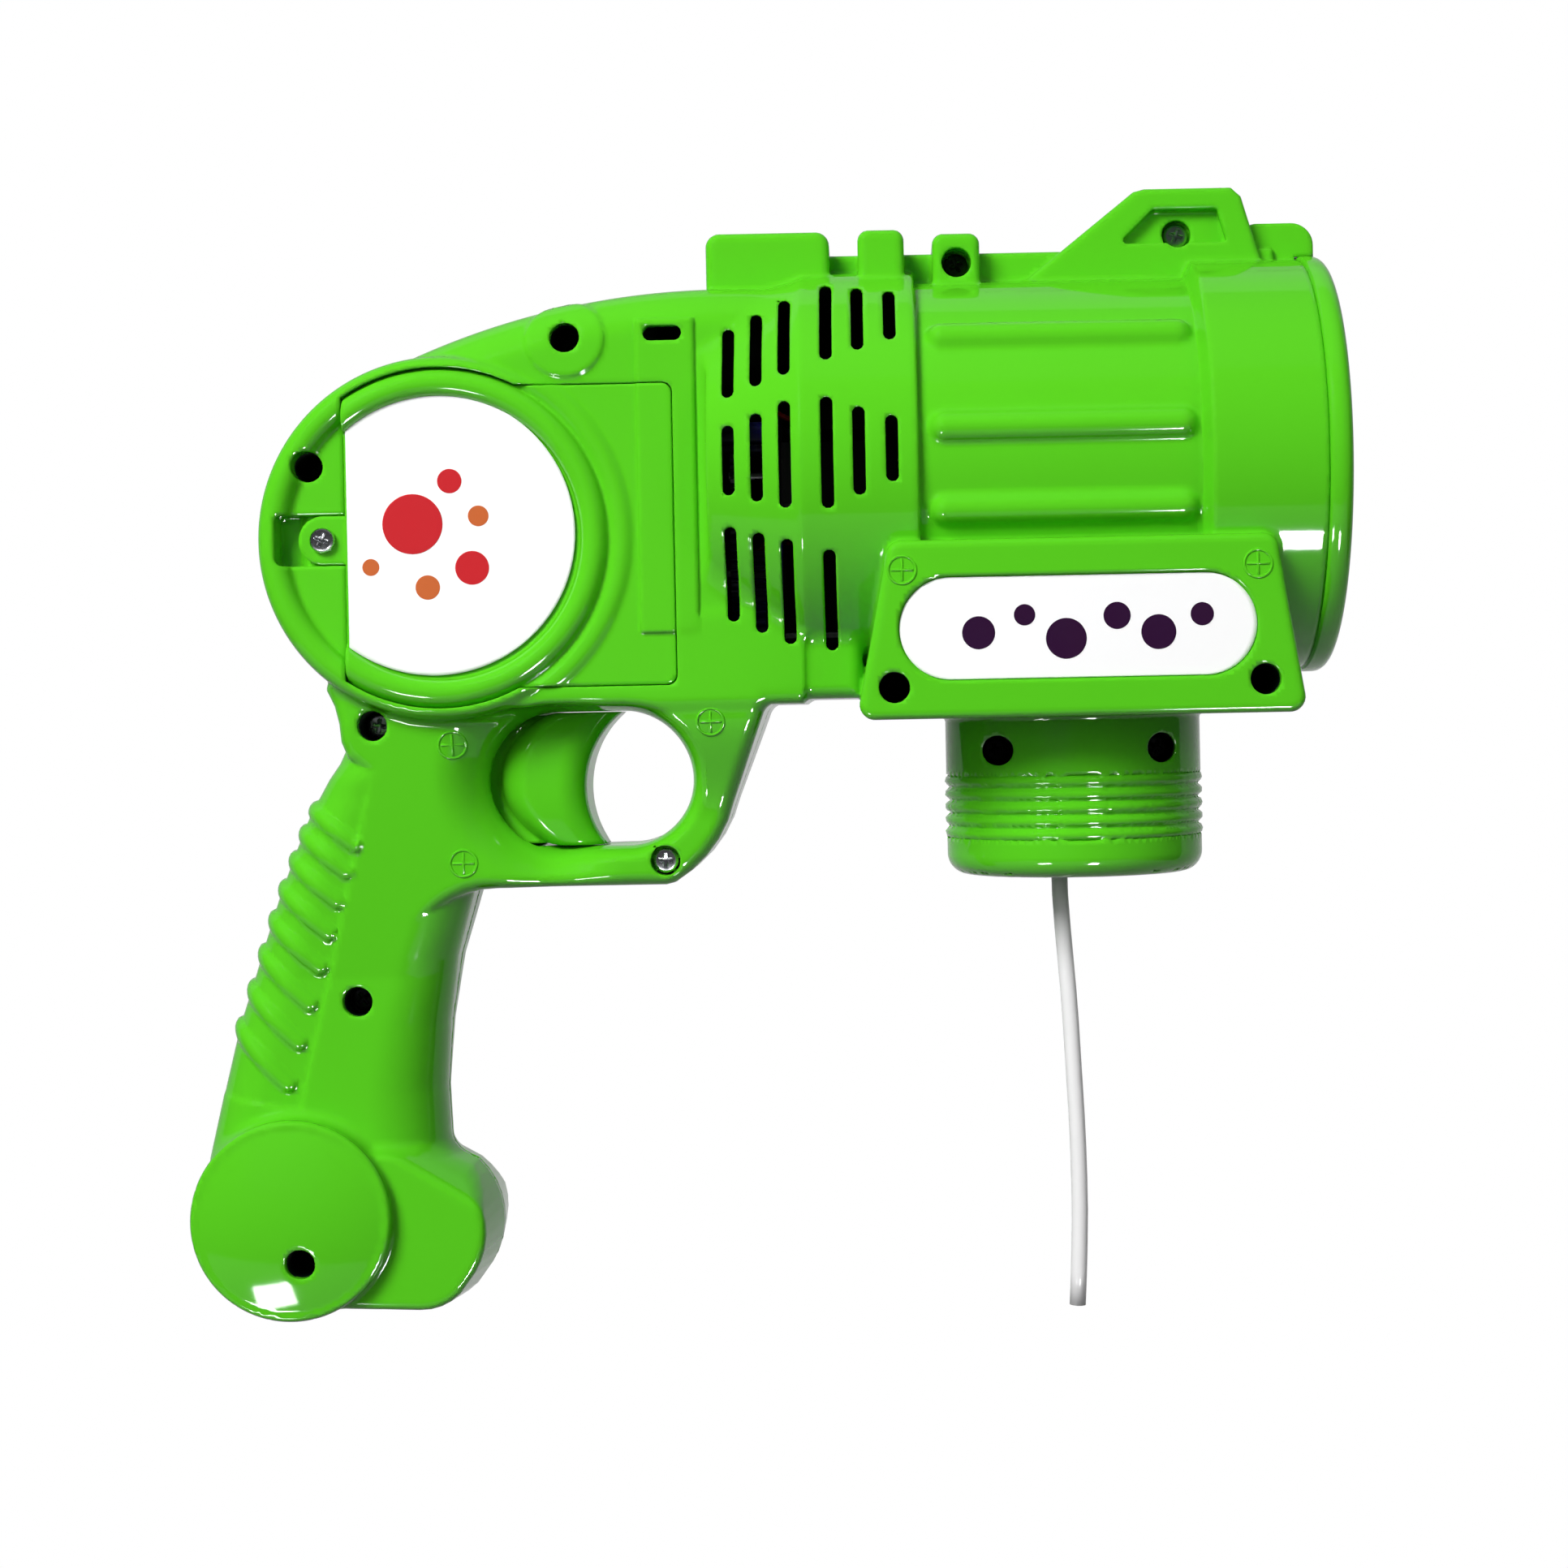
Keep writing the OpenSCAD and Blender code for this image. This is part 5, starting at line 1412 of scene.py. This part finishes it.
@dataclass
class Screws:
    """Pan head screws with a cross recess.

    Attributes:
        head_r: Radius of the head.
        head: Height of the head.
        shank: Radius of the shank.
        length: Length of the shank under the head.
        arm_r: Half length of an arm of the cross.
        arm_half: Half width of an arm of the cross.
        door_seat: Distance of the door screw's seat from the middle plane.
        cell: Lattice pitch.
        bright: Numbers of the screws with a bright head.
        shaded_heads: Numbers of the screws whose head is painted darker zinc as the shade of its deep well.
    """

    head_r: float = 2.7
    head: float = 2.0
    shank: float = 1.25
    length: float = 7.0
    arm_r: float = 1.5
    arm_half: float = 0.36
    door_seat: float = 24.02
    cell: float = 0.22
    bright: tuple = (2, 4)
    shaded_heads: tuple = (11,)

    def shape(self, x: Array, y: Array, z: Array) -> Array:
        """Field of one screw about the y axis, seated at y = 0 with its head towards -y.

        Args:
            x: Distances from the axis, along the barrel.
            y: Distances below the seat.
            z: Distances from the axis, upwards.

        Returns:
            Distances in millimetres, negative inside.
        """
        reach = np.hypot(x, z)
        up = -y
        head = np.maximum(reach - self.head_r, -up)
        head = rounded_meet(head, up - self.head + 0.05 * reach**2, 0.7)
        a, b = np.abs(x), np.abs(z)
        arms = [np.maximum(p - self.arm_half, q - self.arm_r) for p, q in ((a, b), (b, a))]
        cross = np.maximum(np.minimum(*arms), 0.75 + 0.35 * reach - up)
        shank = np.maximum.reduce([reach - self.shank, up - 0.5, -self.length - up])
        return np.minimum(np.maximum(head, -cross), shank)

    def mesh(self) -> tuple[Array, Array]:
        """Mesh of one screw at the origin."""
        size = self.head_r + 0.5
        low, high = (-size, -self.head - 0.5, -size), (size, self.length + 0.5, size)
        return Contour(self.shape, low, high, self.cell).pieces()[0][:2]

    def build(self, housing: Housing) -> list[bpy.types.Object]:
        """Makes the shell screws in three sets by the look of their heads, and the door screw; heads deep
        in their wells are painted darker as shade.

        Args:
            housing: The housing that the screws hold.

        Returns:
            The pieces.
        """
        points, quads = self.mesh()
        turns = np.radians(17 + 41 * np.arange(len(housing.screws)))
        parts = []
        for (sx, sz, floor), t in zip(housing.screws, turns):
            parts.append((self.spun(points, t) + np.array([sx, -floor, sz]), quads))
        bright = [parts[i] for i in self.bright]
        # Painted shade: the head in the fin's deep well gets darker zinc.
        shaded_heads = [parts[i] for i in self.shaded_heads]
        # Painted shade: the other shell screw heads, deep in their wells, get near black steel.
        dull = [part for i, part in enumerate(parts) if i not in self.bright + self.shaded_heads]
        seat = self.spun(points, 0.4) + np.array([DOOR_SCREW_AT[0], -self.door_seat, DOOR_SCREW_AT[1]])
        sets = (
            ("guard_screw_set", "frame", "shell_screws", ZINC, joined(bright)),
            ("fin_screw_set", "frame", "shell_screws", SHADED_ZINC, joined(shaded_heads)),
            ("shell_screw_set", "frame", "shell_screws", DARK_STEEL, joined(dull)),
            ("door_screw", "cover", "cover_screw", ZINC, (seat, quads)),
        )
        return [
            fit(make_mesh(name, *mesh), body, node, "zinc_steel", finish)
            for name, body, node, finish, mesh in sets
        ]

    @staticmethod
    def spun(points: Array, t: float) -> Array:
        """Points turned by t about the y axis."""
        c, s = math.cos(t), math.sin(t)
        return points @ np.array([[c, 0, -s], [0, 1, 0], [s, 0, c]])


# Labels


@dataclass
class Labels:
    """Printed film on the bottle plate and on the battery door, with plain round dots."""

    film: float = 0.25
    ink: float = 0.04
    plate_y: float = -44.2
    plate_r: float = 10.5
    door_y: float = -25.43
    door_at: tuple = (-136.5, -13.2)
    door_r: float = 30.0
    door_cut: float = -154.9
    purple_dots: tuple = (
        (-22, -37, 3.4), (-12.5, -33.5, 2.2), (-4, -38.5, 4.2),
        (6.5, -34, 2.8), (15, -37.5, 3.6), (24, -34, 2.4)
    )
    red_dots: tuple = ((-141, -11, 6.4), (-128.5, -20.5, 3.6), (-133, -2, 2.6))
    orange_dots: tuple = ((-127, -9.5, 2.2), (-138, -24.5, 2.6), (-150, -20, 1.8))

    def sheet(self, edge: Array, y: float, thickness: float) -> tuple[Array, Array]:
        """Thin closed sheet inside an edge of (x, z) rows, as rings shrinking to the middle.

        Args:
            edge: Points of the edge.
            y: Place of the back across the part.
            thickness: Thickness of the sheet.

        Returns:
            Points and faces.
        """
        middle = edge.mean(0)
        n = len(edge)
        shrink = np.array([0.97, 1.0, 1.0, 0.97])[:, None, None]
        lift = np.array([0.0, 0.0, 1.0, 1.0])[:, None]
        rings = middle + (edge - middle) * shrink
        depth = (y - thickness * lift) * np.ones(n)
        points = np.stack([rings[..., 0], depth, rings[..., 1]], -1).reshape(-1, 3)
        ends = np.array([[middle[0], y, middle[1]], [middle[0], y - thickness, middle[1]]])
        walls = grid_faces(4, n, False, True)
        i = np.arange(n)
        j = (i + 1) % n
        back = np.stack([i, j, np.full(n, 4 * n)], 1)
        front = np.stack([3 * n + j, 3 * n + i, np.full(n, 4 * n + 1)], 1)
        faces = np.concatenate([walls[:, :3], walls[:, [0, 2, 3]], back, front])
        return np.concatenate([points, ends]), faces[:, ::-1]

    @staticmethod
    def round_edge(at: Sequence[float], r: float, n: int = 48) -> Array:
        """Points of a circle."""
        t = np.linspace(0, math.tau, n, endpoint=False)
        return np.stack([at[0] + r * np.cos(t), at[1] + r * np.sin(t)], 1)

    def plate_edge(self) -> Array:
        """Edge of the long round ended label."""
        t = np.linspace(-math.pi / 2, math.pi / 2, 40)
        bow = self.plate_r * np.stack([np.cos(t), np.sin(t)], 1)
        return np.concatenate([LABEL_RIGHT + bow, LABEL_LEFT - bow])

    def door_edge(self) -> Array:
        """Edge of the round label with its straight left side."""
        reach = math.acos((self.door_at[0] - self.door_cut) / self.door_r)
        t = np.linspace(-math.pi + reach, math.pi - reach, 120)
        return self.door_at + self.door_r * np.stack([np.cos(t), np.sin(t)], 1)

    def dots(self, y: float, spots: Sequence[tuple[float, float, float]]) -> tuple[Array, Array]:
        """Mesh of printed dots, each a thin sheet on the film at y."""
        return joined([self.sheet(self.round_edge((x, z), r), y, self.ink) for x, z, r in spots])

    def build(self) -> list[bpy.types.Object]:
        """Makes both labels and their dots.

        Returns:
            The pieces.
        """
        plate_top, door_top = self.plate_y - self.film, self.door_y - self.film
        plate = self.sheet(self.plate_edge(), self.plate_y, self.film)
        door = self.sheet(self.door_edge(), self.door_y, self.film)
        sets = (
            ("plate_film", "frame", "plate_label", FILM, plate),
            ("door_film", "cover", "cover_label", FILM, door),
            ("plate_dots", "frame", "", PURPLE_INK, self.dots(plate_top, self.purple_dots)),
            ("door_dots_red", "cover", "", RED_INK, self.dots(door_top, self.red_dots)),
            ("door_dots_orange", "cover", "", ORANGE_INK, self.dots(door_top, self.orange_dots)),
        )
        return [
            fit(make_mesh(name, *mesh), body, node, "label_white", finish)
            for name, body, node, finish, mesh in sets
        ]


# Dip tube


@dataclass
class DipTube:
    """Milky tube that hangs out of the bottle neck."""

    diameter: float = 3.6
    wall: float = 0.7
    sides: int = 32
    route: tuple = (
        (-3.5, 0, -74), (-3.5, 0, -80), (-3.5, 0, -87), (-3.4, 0, -94), (-3, 0, -101), (-2.5, 0, -108),
        (-2, 0, -115), (-1.6, 0, -122), (-1.3, 0, -129), (-1, 0, -136), (-0.7, 0, -143), (-0.5, 0, -150),
        (-0.4, 0, -157), (-0.4, 0, -164), (-0.6, 0, -171), (-0.9, 0, -178), (-1.3, 0, -185)
    )

    def build(self) -> bpy.types.Object:
        """Returns:
            The piece.
        """
        path = np.array(self.route, dtype=float)
        along = np.gradient(path, axis=0)
        along /= np.linalg.norm(along, axis=1, keepdims=True)
        side = np.array([0.0, 1.0, 0.0])
        other = np.cross(along, side)
        t = np.linspace(0, math.tau, self.sides, endpoint=False)[None, :, None]
        outer, bore = self.diameter / 2, self.diameter / 2 - self.wall

        def ring(at: Array, across: Array, r: float) -> Array:
            """Circles of radius r about the points of a path."""
            return at[:, None] + r * (np.cos(t) * side + np.sin(t) * across[:, None])

        skin = ring(path, other, outer)
        inside = ring(path[::-1], other[::-1], bore)
        points = np.concatenate([skin, inside])
        quads = grid_faces(len(points), self.sides, True, True)[:, ::-1]
        obj = make_mesh("milky_dip_tube", points.reshape(-1, 3), quads)
        fit(obj, "frame", "dip_tube", "tube_clear", MILKY)
        row = to_row(path)
        tuple(row[0])
        return obj


# Trigger spring


@dataclass
class ReturnSpring:
    """Steel coil behind the trigger, built at its rest length."""

    wire_r: float = 0.35
    turns: int = 5
    steps: int = 40
    travel: float = 5.0

    def build(self) -> bpy.types.Object:
        """Carries a round wire along the coil, between the ends of the solid that it stands for.

        Returns:
            The piece.
        """
        low, high = (np.asarray(corner) * 1000 + GRIP_FROM_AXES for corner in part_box("trigger_spring"))
        middle = (low + high) / 2
        coil_r = (high[1] - low[1]) / 2 - self.wire_r
        f = np.linspace(0, 1, self.turns * self.steps + 1)[:, None]
        t = math.tau * self.turns * f
        out = np.concatenate([0 * t, np.cos(t), np.sin(t)], 1)
        x = low[0] + self.wire_r + (high[0] - low[0] - 2 * self.wire_r) * f
        path = np.concatenate([x, middle[1] + 0 * t, middle[2] + 0 * t], 1) + coil_r * out
        along = np.gradient(path, axis=0)
        along /= np.linalg.norm(along, axis=1, keepdims=True)
        across = np.cross(out, along)
        a = np.linspace(0, math.tau, 8, endpoint=False)[None, :, None]
        rings = path[:, None] + self.wire_r * (np.cos(a) * out[:, None] + np.sin(a) * across[:, None])
        obj = make_mesh("return_spring", *capped(rings))
        fit(obj, "frame", "trigger_spring", "shaft_steel", STEEL)
        anchor = tuple(to_row(np.array([low[0], middle[1], middle[2]])))
        keep = 1 - self.travel / (high[0] - low[0])
        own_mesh(obj)
        return obj


# Moulded marks


@dataclass
class CrossMarks:
    """Raised dummy screw heads on the housing: a ring with a cross in it."""

    guard_spots: tuple = ((-134.3, -58.1), (-132.7, -83.6), (-78.7, -54.2))
    plate_spots: tuple = ((-37.5, -23.8), (35.6, -23.9))
    ring_r: float = 2.85
    bead: float = 0.3

    def mark(self, at: tuple[float, float], side: Callable[[Array, Array], Array]) -> tuple[Array, Array]:
        """Ring of round section and two round bars, half sunk in the side.

        Args:
            at: Middle of the mark, x and z.
            side: Half width of the surface at x and z.

        Returns:
            Points and faces.
        """
        x, z = at
        u = np.linspace(0, math.tau, 40, endpoint=False)[:, None]
        v = np.linspace(0, math.tau, 10, endpoint=False)[None, :]
        reach = self.ring_r + self.bead * np.cos(v)
        a, b = x + reach * np.cos(u), z + reach * np.sin(u)
        ring = np.stack([a, self.bead * np.sin(v) - side(a, b), b], -1)
        parts = [(ring.reshape(-1, 3), grid_faces(40, 10, True, True)[:, ::-1])]
        ends = np.array([-1.0, -0.92, 0.92, 1.0])[:, None] * (self.ring_r - 0.5)
        width = np.array([0.6, 1.0, 1.0, 0.6])[:, None] * self.bead
        v = np.linspace(0, math.tau, 8, endpoint=False)[None, :]
        for flip in (False, True):
            s, c = width * np.sin(v), width * np.cos(v)
            a, b = (x + c, z + ends + 0 * v) if flip else (x + ends + 0 * v, z + c)
            parts.append(capped(np.stack([a, (-s if flip else s) - side(a, b), b], -1)))
        return joined(parts)

    def build(self, housing: Housing) -> bpy.types.Object:
        """Makes all marks as one piece.

        Args:
            housing: The housing that carries the marks.

        Returns:
            The piece.
        """

        def plate_side(x: Array, z: Array) -> Array:
            """Half width of the bottle plate, the same everywhere."""
            return np.full(x.shape, housing.plate_half)

        marks = [self.mark(at, housing.guard_side) for at in self.guard_spots]
        marks += [self.mark(at, plate_side) for at in self.plate_spots]
        obj = make_mesh("cross_marks", *joined(marks))
        return fit(obj, "frame", "", "shell_green", GREEN)


# Solids that stay as they are


class Works:
    """Drive, power and bottle parts that keep their solids and get their finish here."""

    FINISH = {
        "battery_tray": DARK, "batteries": CELL, "battery_contacts": ZINC,
        "switch_base": DARK, "switch_leaves": BRASS, "motor_can": DARK_STEEL, "motor_end_cap": DARK,
        "motor_shaft": STEEL, "motor_pinion": NAVY, "fan": NAVY, "fan_duct": NAVY, "gear_plate": NAVY,
        "gear_cover": NAVY, "idler_gear": NAVY, "idler_pin": STEEL, "layshaft": STEEL,
        "layshaft_gear": NAVY, "pump_rotor": NAVY, "pump_housing": DARK, "pump_cover": DARK,
        "pump_hose": MILKY, "wheel_pinion": NAVY, "bubble_wheel": ORANGE, "wheel_axle": STEEL,
        "drip_tray": ACETAL, "bottle_socket": GREEN, "socket_seal": RUBBER, "tube_nipple": ACETAL,
        "wires": WIRE,
    }

    def dress(self) -> int:
        """Puts the finishes on the nodes that keep their solids.

        Returns:
            How many nodes got a finish.
        """
        for name, finish in self.FINISH.items():
            FINISHES.dress(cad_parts[name], finish)
        return len(self.FINISH)


# Studio


@dataclass
class Studio:
    """Pale floor, white surroundings, soft lamps and the camera at the photograph's place."""

    camera_at: tuple = (0.1147, -0.6, 0.0547)
    lens: float = 62.11
    shift: tuple = (-0.059, -0.0445)
    roll: float = -1.15
    middle: tuple = (0.09, 0.0, 0.05)
    floor_z: float = -1.4
    backdrop_y: float = 0.9
    ambient: float = 0.06

    def camera(self) -> None:
        """Makes the camera, level along +Y with a small roll."""
        data = bpy.data.cameras.new("photo_camera")
        data.sensor_width = 36
        data.lens = self.lens
        data.shift_x, data.shift_y = self.shift
        data.clip_start = 0.01
        obj = bpy.data.objects.new("photo_camera", data)
        turn = Euler((math.pi / 2, 0, 0)).to_matrix() @ Matrix.Rotation(math.radians(self.roll), 3, "Z")
        obj.matrix_world = Matrix.Translation(self.camera_at) @ turn.to_4x4()
        bpy.context.scene.collection.objects.link(obj)
        bpy.context.scene.camera = obj

    def lamp(self, name: str, at: tuple, size: tuple, power: float, spread: float, glint: bool) -> None:
        """Makes a rectangular lamp that faces the object.

        Args:
            name: Object name.
            at: Place in row metres.
            size: Width and height in metres.
            power: Watts.
            spread: Opening angle in degrees.
            glint: True for a lamp that shows only as highlights, False for one that only lights.
        """
        data = bpy.data.lights.new(name, "AREA")
        data.shape = "RECTANGLE"
        data.size, data.size_y = size
        data.energy = power
        obj = bpy.data.objects.new(name, data)
        data.spread = math.radians(spread)
        obj.visible_glossy = glint
        obj.visible_diffuse = not glint
        aim = (Vector(self.middle) - Vector(at)).to_track_quat("-Z", "Y")
        obj.matrix_world = Matrix.Translation(at) @ aim.to_matrix().to_4x4()
        bpy.context.scene.collection.objects.link(obj)

    def surroundings(self) -> None:
        """World that is white to the camera and a dim grey for the light it gives."""
        world = bpy.data.worlds.new("studio_world")
        world.use_nodes = True
        bpy.context.scene.world = world
        tree = world.node_tree
        tree.nodes.clear()
        out = tree.nodes.new("ShaderNodeOutputWorld")
        back = tree.nodes.new("ShaderNodeBackground")
        back.inputs["Color"].default_value = (1, 1, 1, 1)
        path = tree.nodes.new("ShaderNodeLightPath")
        strength = tree.nodes.new("ShaderNodeMapRange")
        strength.inputs["To Min"].default_value = self.ambient
        strength.inputs["To Max"].default_value = 1.0
        tree.links.new(path.outputs["Is Camera Ray"], strength.inputs["Value"])
        tree.links.new(strength.outputs["Result"], back.inputs["Strength"])
        tree.links.new(back.outputs["Background"], out.inputs["Surface"])

    def stage(self, name: str, corners: Array, finish: bpy.types.Material) -> None:
        """Makes one flat stage surface from four corners in row metres.

        Args:
            name: Object name.
            corners: The four corners.
            finish: Its material.
        """
        points = np.asarray(corners) * 1000 + GRIP_FROM_AXES
        obj = make_mesh(name, points, np.array([[0, 1, 2, 3]]), smooth=False)
        obj.data.materials.append(finish)

    def paper(self, name: str, shadow: float, mirrored: float) -> bpy.types.Material:
        """White paper that keeps a share of its real shading towards the camera.

        Args:
            name: Material name.
            shadow: Share of the real shading that the camera, glossy and clear surfaces see.
            mirrored: How bright glossy and clear surfaces see the paper, where 1 is as the camera does.

        Returns:
            The node material.
        """
        nodes = Nodes(name)
        body = nodes.add("ShaderNodeBsdfDiffuse", Color=(0.85, 0.85, 0.85, 1))
        glow = nodes.add("ShaderNodeEmission", Strength=1.0)
        path = nodes.add("ShaderNodeLightPath")
        seen = path.outputs["Is Camera Ray"]
        for other in ("Is Glossy Ray", "Is Transmission Ray"):
            either = nodes.add("ShaderNodeMath", operation="MAXIMUM")
            nodes.link(seen, either.inputs[0])
            nodes.link(nodes.ramp(path.outputs[other], 0.0, mirrored), either.inputs[1])
            seen = either.outputs["Value"]
        both = nodes.add("ShaderNodeMixShader")
        nodes.link(nodes.ramp(seen, 0.0, 1.0 - shadow), both.inputs[0])
        nodes.link(body.outputs["BSDF"], both.inputs[1])
        nodes.link(glow.outputs["Emission"], both.inputs[2])
        nodes.link(both.outputs["Shader"], nodes.out.inputs["Surface"])
        return nodes.material

    def build(self) -> None:
        """Sets up the camera, the lamps and the surroundings."""
        bpy.context.scene.view_settings.view_transform = "Standard"
        self.camera()
        self.surroundings()
        z, back = self.floor_z, self.backdrop_y
        floor = [(-3, -3, z), (3, -3, z), (3, back, z), (-3, back, z)]
        wall = [(-3, back, z), (3, back, z), (3, back, 3), (-3, back, 3)]
        self.stage("studio_floor", floor, self.paper("floor_paper", 0.6, 1.0))
        self.stage("studio_backdrop", wall, self.paper("backdrop_paper", 0.0, 0.3))
        self.lamp("low_key", (0.301, -0.517, -0.414), (0.09, 0.12), 2.8, 180, True)
        self.lamp("low_left", (-0.22, -0.57, -0.456), (0.16, 0.1), 1.5, 180, True)
        self.lamp("high_left", (-0.55, -0.95, 0.8), (0.6, 0.6), 3.95, 70, False)
        self.lamp("front_fill", (-0.3, -1.3, 0.25), (0.7, 0.7), 0.4, 60, False)
        self.lamp("right_fill", (0.9, -0.7, 0.5), (0.6, 0.6), 0.42, 70, False)
        self.lamp("top_fill", (0.05, 0.1, 1.1), (0.9, 0.9), 0.5, 120, False)
        for size, power in ((1.7, 0.9), (1.2, 0.45), (0.7, 0.15)):
            self.lamp(f"top_sheen_{size}", (0.05, 0.0, 1.1), (size, size), power, 180, True)


def main() -> None:
    """Builds the pieces in order and reports each one."""
    logging.basicConfig(level=logging.INFO, format="%(message)s")
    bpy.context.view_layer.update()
    studio = Studio()
    studio.build()
    housing = Housing()
    pieces: list[bpy.types.Object] = [DipTube().build()]
    pieces += housing.build(Side.RIGHT)
    pieces += housing.build(Side.LEFT)
    pieces += [BatteryDoor().build(), Trigger().build(), ReturnSpring().build()]
    pieces += [MuzzleRing().build(), CrossMarks().build(housing)]
    pieces += Screws().build(housing)
    pieces += Labels().build()
    for obj in pieces:
        log.info("%s: %d faces", obj.name, len(obj.data.polygons))
    log.info("solids dressed: %d", Works().dress())


if __name__ == "__main__":
    main()
